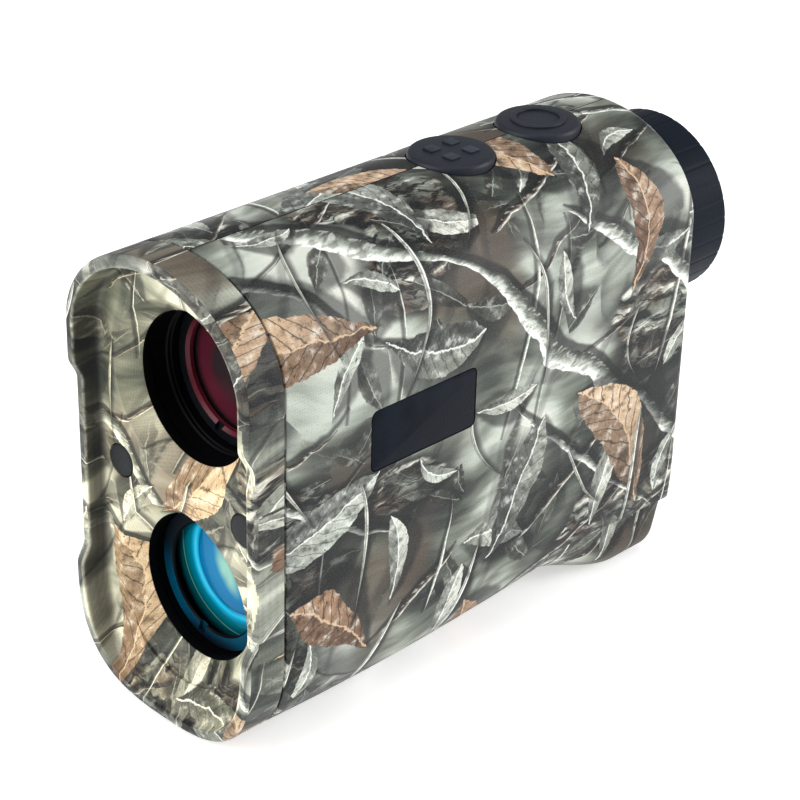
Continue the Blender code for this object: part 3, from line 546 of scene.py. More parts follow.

# coated lenses, in mm: rings of colour about the axis, each a place and a colour, partly the coating's own
# colour and partly painted reflection, and a painted reflection to one side

optics = {
    "objective": dict(
        z=56.0, centre=(0.6, 0.4), rim=12.0, uneven=0.3, coat=0.12, coatTint=(1.0, 0.7, 0.75),
        rings=[(0.0, 42, 36, 38), (0.42, 44, 34, 37), (0.53, 72, 27, 39), (0.7, 80, 29, 42),
               (0.78, 62, 24, 34), (0.82, 24, 20, 21), (0.9, 14, 12, 13)],
        paintedReflection=dict(place=(-3.0, -4.0), wide=4.5, tall=3.0, turn=0.0, share=0.3, colour=(104, 42, 56))),
    "receiver": dict(
        z=21.47, centre=(4.0, 4.2), rim=17.0, uneven=0.5, coat=0.1, coatTint=(0.7, 1.0, 1.0),
        rings=[(0.0, 0, 128, 168), (0.3, 0, 116, 166), (0.46, 0, 104, 152), (0.485, 0, 84, 122),
               (0.505, 0, 150, 196), (0.54, 40, 184, 222), (0.575, 0, 146, 184), (0.62, 0, 104, 124),
               (0.7, 0, 82, 94), (0.738, 0, 70, 80), (0.748, 96, 134, 108), (0.758, 0, 62, 70),
               (0.83, 0, 48, 54), (0.9, 4, 22, 26), (0.96, 3, 7, 9)],
        paintedReflection=dict(place=(2.4, 2.4), wide=2.3, tall=5.4, turn=35.0, share=0.85, colour=(156, 204, 178))),
    # the eyepiece glass is opaque: its dark rings are painted shade for the inside seen through the glass
    "eye": dict(
        z=56.4, centre=(0.0, 0.0), rim=9.6, uneven=0.6, coat=0.2, coatTint=(0.75, 0.7, 1.0),
        rings=[(0.0, 44, 48, 58), (0.35, 34, 38, 50), (0.55, 18, 19, 27), (0.62, 30, 31, 42),
               (0.7, 16, 16, 23), (0.95, 5, 5, 7)],
        paintedReflection=dict(place=(-2.5, 2.5), wide=3.6, tall=2.2, turn=40.0, share=0.6, colour=(78, 64, 112))),
}
coating = dict(patches=(0.12, 1.0), paintedReflectionEdge=(1.0, 0.2), paintedReflectionPatches=(0.25, 1.0), paintedReflectionPatchEdge=(0.1, 0.6),
               smear=(0.3, 3.0), rough=(0.03, 0.09), shine=0.08, coatRough=0.02, ripple=2.0, bump=0.02)


def farFrom(x, z):
    return calc("SQRT", plus(times(x, x), times(z, z)))


def coatedGlass(name, look):
    finish, shader = startFinish(name)
    spot = mapped(objectSpot(), 0.0, (1.0 / mm, 1.0 / mm, 1.0 / mm), (0.0, 0.0, -look["z"]))
    x, _, z = parts(spot)
    radius = farFrom(minus(x, look["centre"][0]), minus(z, look["centre"][1]))
    radius = plus(radius, times(minus(clouds(spot, *coating["patches"]), 0.5), look["uneven"]))
    rings = [(place, tint(*screen)) for place, *screen in look["rings"]]
    colour = rampColour(calc("DIVIDE", radius, look["rim"]), rings)
    # a painted reflection: a soft patch of lighter colour to one side, broken up by noise
    paintedReflection = look["paintedReflection"]
    cosine, sine = math.cos(math.radians(paintedReflection["turn"])), math.sin(math.radians(paintedReflection["turn"]))
    aside, above = minus(x, paintedReflection["place"][0]), minus(z, paintedReflection["place"][1])
    across = calc("DIVIDE", plus(times(aside, cosine), times(above, sine)), paintedReflection["wide"])
    up = calc("DIVIDE", minus(times(above, cosine), times(aside, sine)), paintedReflection["tall"])
    paintedReflectionMask = fade(farFrom(across, up), *coating["paintedReflectionEdge"])
    paintedReflectionMask = times(paintedReflectionMask, fade(clouds(spot, *coating["paintedReflectionPatches"]), *coating["paintedReflectionPatchEdge"]))
    colour = layer(times(paintedReflectionMask, paintedReflection["share"]), colour, tint(*paintedReflection["colour"]))
    rough = gloss(clouds(spot, *coating["smear"]), *coating["rough"])
    setSockets(shader, {"Base Color": colour, "Roughness": rough, "Specular IOR Level": coating["shine"],
                        "Coat Weight": look["coat"], "Coat Roughness": coating["coatRough"],
                        "Coat Tint": look["coatTint"]})
    roughen(shader, clouds(spot, coating["ripple"]), coating["bump"], bumpDepth["polished"])
    return finish


for name, look in optics.items():
    made[name + "Glass"] = coatedGlass(name + "Glass", look)

clear = dict(colour=(0.82, 0.88, 0.86), smear=(160.0, 3.0), smearEdge=(0.35, 0.7), smeared=0.9,
             rough=(0.01, 0.05), index=1.5, shine=0.5, coat=0.15, coatTint=(0.8, 0.9, 1.0))


def clearGlass():
    finish, shader = startFinish("clearGlass")
    smear = clouds(objectSpot(), *clear["smear"])
    smeared = tuple(c * clear["smeared"] for c in clear["colour"])
    colour = layer(fade(smear, *clear["smearEdge"]), clear["colour"], smeared)
    setSockets(shader, {"Base Color": colour, "Roughness": gloss(smear, *clear["rough"]),
                        "Transmission Weight": 1.0, "IOR": clear["index"],
                        "Specular IOR Level": clear["shine"], "Coat Weight": clear["coat"],
                        "Coat Tint": clear["coatTint"]})
    return finish


sleeve = inMm(end=12.3, band=5.0, edge=0.05)
sleeve.update(dark=(40, 44, 52), gold=(176, 138, 70), metal=(190, 190, 192), scuff=(90, 90, 92),
              scuffs=(300.0, 3.0), scuffEdge=(0.4, 0.7, 0.25), sheen=200.0, rough=(0.25, 0.4), ripple=900.0,
              bump=0.1)


def cellWrap():  # the cell: a printed sleeve with bare metal ends
    finish, shader = startFinish("cellWrap")
    spot = objectSpot()
    x = parts(spot)[0]
    ends = fade(calc("ABSOLUTE", x), sleeve["end"], sleeve["end"] + sleeve["edge"])
    band = fade(x, sleeve["band"], sleeve["band"] + sleeve["edge"])
    dark, gold, metal, scuff = (tint(*sleeve[part]) for part in ("dark", "gold", "metal", "scuff"))
    colour = layer(band, dark, gold)
    colour = layer(fade(clouds(spot, *sleeve["scuffs"]), *sleeve["scuffEdge"]), colour, scuff)
    setSockets(shader, {"Base Color": layer(ends, colour, metal), "Metallic": ends,
                        "Roughness": gloss(clouds(spot, sleeve["sheen"]), *sleeve["rough"])})
    roughen(shader, clouds(spot, sleeve["ripple"]), sleeve["bump"], bumpDepth["polished"])
    return finish


made["clearGlass"] = clearGlass()
made["cellWrap"] = cellWrap()
print("finishes ready:", len(made))

# mesh helpers

weld = inMm(kept=0.0004, spun=0.0005)


def keepPiece(bm, name, finish, body, slotName, sharp=32.0):
    bmesh.ops.remove_doubles(bm, verts=bm.verts, dist=weld["kept"])
    bmesh.ops.recalc_face_normals(bm, faces=bm.faces)
    mesh = bpy.data.meshes.new(name)
    bm.to_mesh(mesh)
    bm.free()
    for coat in finish.split():
        mesh.materials.append(made[coat])
    mesh.shade_smooth()
    mesh.set_sharp_from_angle(angle=math.radians(sharp))
    piece = bpy.data.objects.new(name, mesh)
    bpy.context.scene.collection.objects.link(piece)
    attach(piece, body)
    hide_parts(name)


def carve(bm, tool, operation="DIFFERENCE", lining=0):
    # lining: the finish, by its place in the piece's list, that the cut faces take
    for face in tool.faces:
        face.material_index = lining
    pair = []
    for name, shape in (("blank", bm), ("tool", tool)):
        bmesh.ops.recalc_face_normals(shape, faces=shape.faces)
        mesh = bpy.data.meshes.new(name)
        shape.to_mesh(mesh)
        shape.free()
        for _ in range(3):
            mesh.materials.append(None)
        pair.append(bpy.data.objects.new(name, mesh))
        bpy.context.scene.collection.objects.link(pair[-1])
    step = pair[0].modifiers.new("carve", "BOOLEAN")
    step.operation = operation
    step.solver = "EXACT"
    step.object = pair[1]
    result = bmesh.new()
    result.from_object(pair[0], bpy.context.evaluated_depsgraph_get())
    for helper in pair:
        mesh = helper.data
        bpy.data.objects.remove(helper)
        bpy.data.meshes.remove(mesh)
    return result


def block(low, high):
    bm = bmesh.new()
    bmesh.ops.create_cube(bm, size=1.0)
    low, high = Vector(low), Vector(high)
    bmesh.ops.scale(bm, vec=high - low, verts=bm.verts)
    bmesh.ops.translate(bm, vec=(low + high) / 2, verts=bm.verts)
    return bm


def turnedShape(profile, centre, axis="Y", steps=96, closed=False):
    # profile: (radius, along) points in metres, spun about an axis through centre
    def spot(radius, along):
        x, other = centre[0] + radius, centre[1]
        return (x, along, other) if axis == "Y" else (x, other, along)

    bm = bmesh.new()
    line = [bm.verts.new(spot(*point)) for point in profile]
    edges = [bm.edges.new(pair) for pair in zip(line, line[1:])]
    if closed:
        edges.append(bm.edges.new((line[-1], line[0])))
    bmesh.ops.spin(bm, geom=line + edges, cent=spot(0.0, 0.0), axis=(0, 1, 0) if axis == "Y" else (0, 0, 1),
                   dvec=(0, 0, 0), angle=2 * math.pi, steps=steps, use_merge=True, use_duplicate=False)
    bmesh.ops.remove_doubles(bm, verts=bm.verts, dist=weld["spun"])
    bmesh.ops.recalc_face_normals(bm, faces=bm.faces)
    return bm


def rod(radius, low, high, centre, axis="Y", steps=96):
    return turnedShape([(0.0, low), (radius, low), (radius, high), (0.0, high)], centre, axis, steps)


def soften(bm, width, segments=2, angle=40.0, chosen=lambda edge: True):
    folds = [edge for edge in bm.edges if len(edge.link_faces) == 2 and chosen(edge)]
    sharp = [edge for edge in folds if edge.calc_face_angle(0.0) > math.radians(angle)]
    bmesh.ops.bevel(bm, geom=sharp, offset=width, offset_type="OFFSET", affect="EDGES", segments=segments,
                    profile=0.5, material=-1, clamp_overlap=True)
    return bm


def roundArc(centre, radius, start, end, steps):
    turns = [math.radians(start + (end - start) * i / steps) for i in range(steps + 1)]
    return [(centre[0] + radius * math.cos(a), centre[1] + radius * math.sin(a)) for a in turns]


def rearRound(rearY, fillet, steps=8):  # how far in the wall stands as it rounds into the rear face
    turns = [math.radians(90.0 * i / steps) for i in range(steps + 1)]
    return [(rearY - fillet + fillet * math.sin(a), fillet * (1.0 - math.cos(a))) for a in turns]


def ease(value, start, end):
    t = min(max((value - start) / (end - start), 0.0), 1.0)
    return t * t * (3.0 - 2.0 * t)


def bracket(values, target):  # the two neighbours in a rising list that the target lies between
    low, high = 0, len(values) - 1
    while high - low > 1:
        mid = (low + high) // 2
        low, high = (mid, high) if values[mid] <= target else (low, mid)
    return low, high


def stackRings(places, segments, wear=None, paintedShade=None):
    # pulls one ring of edges through a list of places; each place turns a lap from -0.5 to 0.5 into a point
    bm = bmesh.new()
    # each corner carries its lap, a wear value that on the bezel's lip is partly a painted highlight, and a
    # painted shade value
    lap, rub, paintedShadeLayer = (bm.verts.layers.float.new(name) for name in ("lap", "wear", "paintedShade"))
    ring = bmesh.ops.create_circle(bm, segments=segments, radius=1.0)["verts"]
    first = edges = list(bm.edges)
    for vert in ring:
        vert[lap] = math.atan2(vert.co.x, vert.co.y) / (2.0 * math.pi)
    for k, place in enumerate(places):
        if k:
            grown = bmesh.ops.extrude_edge_only(bm, edges=edges)["geom"]
            ring = [g for g in grown if isinstance(g, bmesh.types.BMVert)]
            fresh = set(ring)
            edges = [g for g in grown if isinstance(g, bmesh.types.BMEdge) and fresh.issuperset(g.verts)]
        for vert in ring:
            vert.co = place(vert[lap])
            vert[rub] = wear[k] if wear else 0.0
            vert[paintedShadeLayer] = paintedShade[k] if paintedShade else 0.0
    bmesh.ops.edgeloop_fill(bm, edges=first)
    bmesh.ops.edgeloop_fill(bm, edges=edges)
    return bm


# housing section, shared by the shells, bezel and door

housing = inMm(
    halfWidth=20.5, crownZ=62.47, crownHeight=16.29, bellyZ=21.25, bellyHeight=21.25, lowY=-27.0,
    frontRise=0.72, rearRise=2.4, seamY=-48.77, doorY=12.0, rearY=42.63, fillet=2.0, wall=2.0, gap=0.3,
    split=0.1, opticZ=56.0, eyeZ=56.4, receiverZ=21.47,
    plumbEndY=38.0, plumbZ=(5.0, 10.0),  # the sides stay upright above the door
)
housing.update(bellyPower=2.83, plumbShare=0.75, steps=240, segments=240, poles=(0.002, 0.998))


def halfOutline():
    h, quarter = housing, math.pi / 2
    shares = [i / h["steps"] for i in range(h["steps"] + 1)]
    line = []
    for share in shares:
        a = quarter * (1.0 - share)
        line.append((h["halfWidth"] * math.cos(a), h["crownZ"] + h["crownHeight"] * math.sin(a)))
    power = 2.0 / h["bellyPower"]
    for share in shares:
        a = quarter * share
        x = h["halfWidth"] * math.cos(a) ** power
        line.append((x, h["bellyZ"] - h["bellyHeight"] * math.sin(a) ** power))
    lengths = [0.0]
    for a, b in zip(line, line[1:]):
        lengths.append(lengths[-1] + math.dist(a, b))
    return line, lengths


outlineLine, outlineLengths = halfOutline()
halfLap = outlineLengths[-1]


def outlineSpot(share):
    # point and outward direction at a share of the way from the crown to the belly
    target = share * halfLap
    low, high = bracket(outlineLengths, target)
    a, b = outlineLine[low], outlineLine[high]
    span = max(outlineLengths[high] - outlineLengths[low], 1e-12)
    t = (target - outlineLengths[low]) / span
    before, after = outlineLine[max(low - 2, 0)], outlineLine[min(high + 2, len(outlineLine) - 1)]
    run = Vector((after[0] - before[0], after[1] - before[1])).normalized()
    out = Vector((-run.y, run.x))
    crown, belly = housing["poles"]  # the mid plane, where the section faces straight up or down
    if share < crown:
        out = Vector((0.0, 1.0))
    if share > belly:
        out = Vector((0.0, -1.0))
    return Vector((a[0] + (b[0] - a[0]) * t, a[1] + (b[1] - a[1]) * t)), out


def bellyRise(y):
    h = housing
    if y < h["lowY"]:
        return h["frontRise"] * min((h["lowY"] - y) / (h["lowY"] - h["seamY"]), 1.0) ** 2
    return h["rearRise"] * min((y - h["lowY"]) / (h["doorY"] - h["lowY"]), 1.0) ** 2


def skin(lapShare, y, inset=0.0):
    h = housing
    spot, out = outlineSpot(2.0 * abs(lapShare))
    x, z = max(spot.x - out.x * inset, 0.0), spot.y - out.y * inset
    if z < h["bellyZ"]:
        z = h["bellyZ"] - (h["bellyZ"] - z) * (1.0 - bellyRise(y) / h["bellyHeight"])
        plumb = ease(y, h["doorY"], h["plumbEndY"]) * ease(z, *h["plumbZ"])
        x += (max(h["halfWidth"] - inset, x) - x) * h["plumbShare"] * plumb
    return Vector((math.copysign(x, lapShare), y, z))


wrap = inMm(middleZ=42.0, rearFlatY=30.0, underZ=14.0, flatStart=(210.0, 79.0))
wrap.update(flatLean=(0.25, 0.2), rearFacing=0.75, underFacing=-0.6)
wrapAngles = [math.atan2(x, z - wrap["middleZ"]) for x, z in outlineLine]


def aroundLap(x, z):  # how far round from the crown's middle line, in metres
    angle = math.atan2(abs(x), z - wrap["middleZ"])
    low, high = bracket(wrapAngles, angle)
    a, b = wrapAngles[low], wrapAngles[high]
    la, lb = outlineLengths[low], outlineLengths[high]
    return la + (lb - la) * (angle - a) / max(b - a, 1e-9)


def wrapPrint(bm, flatFront=None, smear=1.0, aside=(0.0, 0.0)):
    # lays the print's map: round the sides by lap length, flat on the ends and underneath
    # each moulding is dipped on its own, so the film starts at another place, aside, in mm
    bm.normal_update()
    sheet = bm.loops.layers.uv.new("wrap")
    (startX, startZ), (leanX, leanZ) = wrap["flatStart"], wrap["flatLean"]
    for face in bm.faces:
        middle, out = face.calc_center_median(), face.normal
        rear = out.y > wrap["rearFacing"] and middle.y > wrap["rearFlatY"]
        flat = rear or (flatFront and flatFront(middle, out))
        under = out.z < wrap["underFacing"] and middle.z < wrap["underZ"]
        side = math.copysign(1.0, middle.x)
        for loop in face.loops:
            x, y, z = loop.vert.co
            if flat:
                spot = (x + y * leanX + startX, startZ - z + y * leanZ)
            elif under:
                spot = (y * smear, halfLap - x)
            else:
                spot = (y * smear, side * aroundLap(x, z))
            loop[sheet].uv = (spot[0] / mm + aside[0], spot[1] / mm + aside[1])


# buttons

keys = inMm(modeY=4.6, powerY=24.7, radius=7.0, topZ=79.4, footZ=74.0, flange=0.9, flangeReach=1.0, round=0.9,
            padHalf=1.05, padPitch=2.15, padSoft=0.14, markHeight=0.42, markFoot=0.5, ringOuter=4.5,
            ringInner=3.5, ringSoft=0.16)
keys["crown"] = ((0.6, 0.04), (0.3, 0.08), (0.0, 0.1))  # share of the radius, rise in mm


def makeKey(name, y, body):
    k = keys
    flangeTop, reach = k["footZ"] + k["flange"], k["radius"] + k["flangeReach"]
    profile = [(0.0, k["footZ"]), (reach, k["footZ"]), (reach, flangeTop), (k["radius"], flangeTop)]
    profile += roundArc((k["radius"] - k["round"], k["topZ"] - k["round"]), k["round"], 0.0, 82.0, 8)
    profile += [(k["radius"] * share, k["topZ"] + rise * mm) for share, rise in k["crown"]]
    bm = turnedShape(profile, (0.0, y), "Z")
    low, high = k["topZ"] - k["markFoot"], k["topZ"] + k["markHeight"]
    if name == "mode_button":
        half, pitch = k["padHalf"], k["padPitch"]
        for x, at in ((-pitch, y - pitch), (-pitch, y + pitch), (pitch, y - pitch), (pitch, y + pitch)):
            pad = block((x - half, at - half, low), (x + half, at + half, high))
            bm = carve(bm, soften(pad, k["padSoft"], 4), "UNION")
    else:
        inner, outer = k["ringInner"], k["ringOuter"]
        profile = [(inner, low), (outer, low), (outer, high), (inner, high)]
        mark = turnedShape(profile, (0.0, y), "Z", closed=True)
        bm = carve(bm, soften(mark, k["ringSoft"], 4), "UNION")
    keepPiece(bm, name, "rubber", body, "rubber", sharp=40.0)


# shells

shells = inMm(
    plateCentre=(-20.65, 49.15), plateSize=(22.0, 10.0), plateCorner=1.0, plateGap=0.18, plateDepth=0.8,
    plateThick=0.5, plateSoft=0.12, buttonHole=7.2, buttonHoleZ=(70.0, 90.0), barrelHole=12.9,
    barrelHoleY=(36.0, 50.0), doorTop=10.75, boss=(14.1, 39.2), bossY=(-46.2, -36.5), bossRadius=3.0,
    ribHalf=1.2, ribShort=0.5, screwHole=1.3, screwAhead=1.0, lip=0.2, innerLip=0.1, far=60.0,
    rings=(-44, -38, -32, -27, -20, -13, -6, 0, 6, 12),
)
shells["rightAside"] = (83.0, 127.0)
shells["lipShape"] = ((0.0, 1.0), (0.35, 0.3), (1.0, 0.0))  # behind the front and inset, as shares of the lip


def housingStack(inset, frontY, rearY, fillet, lip):
    stops = [(frontY + lip * behind, lip * inward) for behind, inward in shells["lipShape"]]
    stops += [(y, 0.0) for y in shells["rings"]] + rearRound(rearY, fillet)
    return stackRings([lambda s, y=y, d=d: skin(s, y, inset + d) for y, d in stops], housing["segments"])


def plateBlank(grow, lowX, highX):
    (y, z), size = shells["plateCentre"], shells["plateSize"]
    halfY, halfZ = size[0] / 2 + grow, size[1] / 2 + grow
    bm = block((lowX, y - halfY, z - halfZ), (highX, y + halfY, z + halfZ))
    corners = [e for e in bm.edges if abs((e.verts[0].co - e.verts[1].co).x) > 1e-6]
    bmesh.ops.bevel(bm, geom=corners, offset=shells["plateCorner"] + grow, offset_type="OFFSET",
                    affect="EDGES", segments=6, profile=0.5, material=-1)
    return bm


def makeShell(name, side):
    h, s, far = housing, shells, shells["far"]
    bm = housingStack(0.0, h["seamY"] + h["gap"] / 2, h["rearY"], h["fillet"], s["lip"])
    wall = h["wall"]
    lowX, highX = (-far, h["split"]) if side > 0 else (-h["split"], far)
    cuts = [
        housingStack(wall, h["seamY"] - wall, h["rearY"] - wall, h["fillet"] / 2, s["innerLip"]),
        block((lowX, -far, -far), (highX, far, 2 * far)),
        rod(s["buttonHole"], *s["buttonHoleZ"], (0.0, keys["modeY"]), "Z"),
        rod(s["buttonHole"], *s["buttonHoleZ"], (0.0, keys["powerY"]), "Z"),
        rod(s["barrelHole"], *s["barrelHoleY"], (0.0, h["eyeZ"])),
        block((-far, h["doorY"], -far), (far, far, s["doorTop"])),
    ]
    if side > 0:
        cuts.append(plateBlank(s["plateGap"], h["halfWidth"] - s["plateDepth"], far))
    for cut in cuts:
        bm = carve(bm, cut, lining=1)
    x, z = s["boss"][0] * side, s["boss"][1]
    start, end = s["bossY"]
    lowX, highX = sorted((x, (h["halfWidth"] - wall / 2) * side))
    rib = block((lowX, start, z - s["ribHalf"]), (highX, end - s["ribShort"], z + s["ribHalf"]))
    bm = carve(bm, rib, "UNION", 1)
    bm = carve(bm, rod(s["bossRadius"], start, end, (x, z), steps=40), "UNION", 1)
    ahead = s["screwAhead"]
    bm = carve(bm, rod(s["screwHole"], start - ahead, end - ahead, (x, z), steps=32), lining=1)
    wrapPrint(bm, aside=(0.0, 0.0) if side > 0 else s["rightAside"])
    keepPiece(bm, name, "shellPrint innerPlastic", "housing", "printed_housing")


makeShell("left_shell", 1)
makeShell("right_shell", -1)
print("shells made")
makeKey("mode_button", keys["modeY"], "mode_key")
makeKey("power_button", keys["powerY"], "power_key")
plateFace = housing["halfWidth"]
plate = plateBlank(0.0, plateFace - shells["plateThick"], plateFace)
soften(plate, shells["plateSoft"], 2, 60.0, lambda e: all(v.co.x > plateFace - 0.1 * mm for v in e.verts))
keepPiece(plate, "side_plate", "platePlastic", "housing", "dark_plastic")
print("buttons and plate made")

# front bezel: hoods over both ports, a brow between them, a panel that ramps out at the bottom

bezel = inMm(
    hoodY=-56.25, browY=-54.7, panelY=-51.34, portY=-48.05, spigotY=-46.5, upperStep=(52.5, 56.5),
    lowerStep=(20.0, 23.8), lip=2.0, lipOuter=0.9, lipInner=0.25, rubbed=(0.05, 0.6), rampTop=12.0,
    rampFoot=1.8, panelSink=0.06, panelInset=3.3, panelMiddle=(20.0, 58.0), wallStart=0.4, clearZ=(3.0, 12.0),
    crownZ=(58.0, 70.0), dish=14.53, dishFlare=0.9, port=12.1, plug=(14.1, 39.2), plugRadius=2.7,
    plugGap=0.15, plugProud=0.2, plugBack=-49.9, plugSeat=-48.2, screwHole=1.3, cutFront=-60.0, cutBack=-40.0,
    rimReach=0.9, portSlack=0.06, lipSlack=0.05,
)
bezel.update(
    segments=320,
    outerRub=0.12,
    innerRub=0.3,
    crownClear=0.35,
    rampBow=(0.55, 0.45),
    frontFacing=-0.35,
    smear=0.45,
    wallShares=(0.25, 0.5, 0.75),
    panelShares=(0.0, 0.08, 0.2, 0.4, 0.65, 0.85),
    backEdge=((0.0, 0.25), (0.1, 0.07), (0.3, 0.0)),  # ahead of the seam, inset, in mm
    # share of the depth, inset in mm, painted shade
    innerWall=((0.03, 2.0, 0.5), (0.12, 2.02, 0.85), (0.45, 2.06, 1.0), (0.76, 2.12, 1.0), (0.88, 2.22, 0.9),
               (0.95, 2.42, 0.6), (0.99, 2.7, 0.2), (1.0, 3.0, 0.0)),
    dishEdge=((0.75, -0.28), (0.3, -0.02), (0.0, 0.3)),  # radius and along, for edgePoints
    portEdge=((0.32, -0.35), (0.08, -0.08), (0.0, 0.1)),
    plugFace=((0.0, -0.12), (1.35, -0.08), (2.2, 0.0), (2.55, 0.12), (2.7, 0.45)),
)


def edgePoints(radius, along, points):  # points in mm, from a radius and a place along the axis
    return [(radius + r * mm, along + y * mm) for r, y in points]


def frontEdge(z):
    upper = ease(z, *bezel["upperStep"])
    lower = 1.0 - ease(z, *bezel["lowerStep"])
    return bezel["browY"] + (bezel["hoodY"] - bezel["browY"]) * max(upper, lower)


def makeBezel():
    b, h = bezel, housing
    backY = h["seamY"] - h["gap"] / 2
    spigot = h["wall"] + h["gap"]
    outerRound, innerRound = b["lipOuter"], b["lipInner"]

    def fixed(y, inset):
        return lambda s: skin(s, y, inset)

    def edgeAt(s):
        return frontEdge(skin(s, backY).z)

    def wallStep(share):  # the outer wall, part of the way to the front edge
        start = backY - b["wallStart"]
        return lambda s: skin(s, start + (edgeAt(s) + outerRound - start) * share, 0.0)

    def lipStep(inset, behind):
        return lambda s: skin(s, edgeAt(s) + behind, inset)

    def panelDepth(s, z):
        ramp = min(max((b["rampTop"] - z) / (b["rampTop"] - b["rampFoot"]), 0.0), 1.0)
        ramp = ramp * (b["rampBow"][0] + b["rampBow"][1] * ramp)
        return max(b["panelY"] + (b["hoodY"] - b["panelY"]) * ramp, edgeAt(s) + innerRound + b["panelSink"])

    def innerStep(share, inset):  # from the lip's inner side down to the panel
        def place(s):
            spot = skin(s, backY, inset)
            top = edgeAt(s) + innerRound
            spot.y = top + (panelDepth(s, spot.z) - top) * share
            return spot
        return place

    def panelStep(share):  # across the panel towards its middle line
        def place(s):
            spot = skin(s, backY, b["panelInset"])
            lowZ, highZ = b["panelMiddle"]
            middle = Vector((0.0, 0.0, min(max(spot.z, lowZ), highZ)))
            spot = Vector((spot.x, 0.0, spot.z)).lerp(middle, share)
            spot.y = panelDepth(s, spot.z)
            return spot
        return place

    stages = [(fixed(b["spigotY"], spigot), 0.0, 0.0), (fixed(backY, spigot), 0.0, 0.0)]
    stages += [(fixed(backY - ahead * mm, inset * mm), 0.0, 0.0) for ahead, inset in b["backEdge"]]
    stages += [(wallStep(share), 0.0, 0.0) for share in b["wallShares"]]
    # the lip's rounded edges carry wear that is partly a painted highlight
    wearAndHighlightStart, wearAndHighlightEnd = b["rubbed"]
    for inset, behind in roundArc((outerRound, outerRound), outerRound, 180.0, 270.0, 6):
        stages.append((lipStep(inset, behind), b["outerRub"] if wearAndHighlightStart < inset < wearAndHighlightEnd else 0.0, 0.0))
    stages.append((lipStep(b["lip"] - 2 * innerRound, 0.0), 0.0, 0.0))
    for inset, behind in roundArc((b["lip"] - innerRound, innerRound), innerRound, 270.0, 360.0, 4):
        stages.append((lipStep(inset, behind), b["innerRub"], 0.0))
    # the recess's inner wall: painted shade, strongest partway down
    stages += [(innerStep(share, inset * mm), 0.0, paintedShade) for share, inset, paintedShade in b["innerWall"]]
    stages += [(panelStep(share), 0.0, 0.0) for share in b["panelShares"]]
    places, wear, paintedShade = zip(*stages)
    bm = stackRings(places, b["segments"], wear, paintedShade)
    rub, paintedShadeLayer = bm.verts.layers.float["wear"], bm.verts.layers.float["paintedShade"]
    # the painted highlight and painted shade fade out low down, and the painted shade fades in part at the
    # crown
    for vert in bm.verts:  # neither shows where the panel ramps out to the lip
        shown = ease(vert.co.z, *b["clearZ"])
        vert[rub] *= shown
        vert[paintedShadeLayer] *= shown * (1.0 - b["crownClear"] * ease(vert.co.z, *b["crownZ"]))

    dish, port, panelY = b["dish"], b["port"], b["panelY"]
    front, back, flare = b["cutFront"], b["cutBack"], b["dishFlare"]
    slope = (dish - port) / (b["portY"] - panelY)
    profile = [(0.0, front), (dish + slope * (panelY - front), front), (dish + slope * flare, panelY - flare)]
    profile += edgePoints(dish, panelY, b["dishEdge"]) + edgePoints(port, b["portY"], b["portEdge"])
    profile += [(port, back), (0.0, back)]
    for z in (h["opticZ"], h["receiverZ"]):
        bm = carve(bm, turnedShape(profile, (0.0, z), steps=144))
    hole, screw, seat = b["plugRadius"] + b["plugGap"], b["screwHole"], b["plugSeat"]
    profile = [(0.0, front), (hole, front), (hole, seat), (screw, seat), (screw, back), (0.0, back)]
    for side in (-1, 1):
        bm = carve(bm, turnedShape(profile, (b["plug"][0] * side, b["plug"][1]), steps=64))

    def fromRim(middle):
        lap = aroundLap(middle.x, middle.z) / halfLap / 2
        return (skin(math.copysign(lap, middle.x), backY) - Vector((middle.x, backY, middle.z))).length

    def facesFront(middle, out):
        return fromRim(middle) > b["rimReach"] or out.y < b["frontFacing"]

    wrapPrint(bm, facesFront, b["smear"])
    for face in bm.faces:  # bare black plastic inside the ports, and in the recess a lighter copy of the print, painted light against the recess's shade
        middle = face.calc_center_median()
        reach = min(math.hypot(middle.x, middle.z - z) for z in (h["opticZ"], h["receiverZ"]))
        if middle.y > b["portY"] - b["portSlack"] and reach < port + b["portSlack"]:
            face.material_index = 1
        elif fromRim(middle) > b["lip"] - b["lipSlack"] and middle.y < b["portY"]:
            face.material_index = 2
    keepPiece(bm, "front_bezel", "bezelPrint portBlack panelPrint", "housing", "printed_housing")
    profile = edgePoints(0.0, panelY - b["plugProud"], b["plugFace"])
    profile += [(b["plugRadius"], b["plugBack"]), (0.0, b["plugBack"])]
    for side, label in ((1, "left"), (-1, "right")):
        plug = turnedShape(profile, (b["plug"][0] * side, b["plug"][1]), steps=64)
        keepPiece(plug, "bezel_plug_" + label, "plugRubber", "housing", "rubber", sharp=50.0)


makeBezel()
print("bezel made")

# ports: a threaded cell, a coated lens and a notched ring in each

ports = {
    "objective": inMm(z=56.0, cell=13.8, seat=-36.7, throat=10.2, ringBore=9.7, chamfer=0.5),
    "receiver": inMm(z=21.47, cell=13.4, seat=-40.65, throat=9.4, ringBore=9.4, chamfer=0.25, undercut=1.2,
                     ringLip=0.55),  # a thin lip, opened out behind it
}
ports["objective"].update(finish="anodised redBore", slot="red_glass", threads=2)
ports["receiver"].update(finish="blueRing portBlack", slot="blue_glass", threads=0)
port = inMm(
    bore=12.1, front=-46.2, rear=-31.0, throatRun=2.0, seatStep=0.5, lens=11.7, lensGap=0.3, lensRim=2.6,
    bulge=1.2, ringGap=0.7, ringThick=1.2, ringSlack=0.3, ringEdge=0.1, lined=0.3, pitch=0.8, thread=0.32,
    threadStart=1.1, threadWide=0.4, notchHalf=0.7, notchDepth=0.6, notchRim=0.6, notchOver=1.0,
)
port["notch"] = -105.0


def lensProfile(radius, front, behind, frontBulge, backBulge, steps=14):
    shares = [i / steps for i in range(steps + 1)]
    profile = [(radius * share, front - frontBulge * (1.0 - share ** 2)) for share in shares]
    return profile + [(radius * share, behind + backBulge * (1.0 - share ** 2)) for share in reversed(shares)]


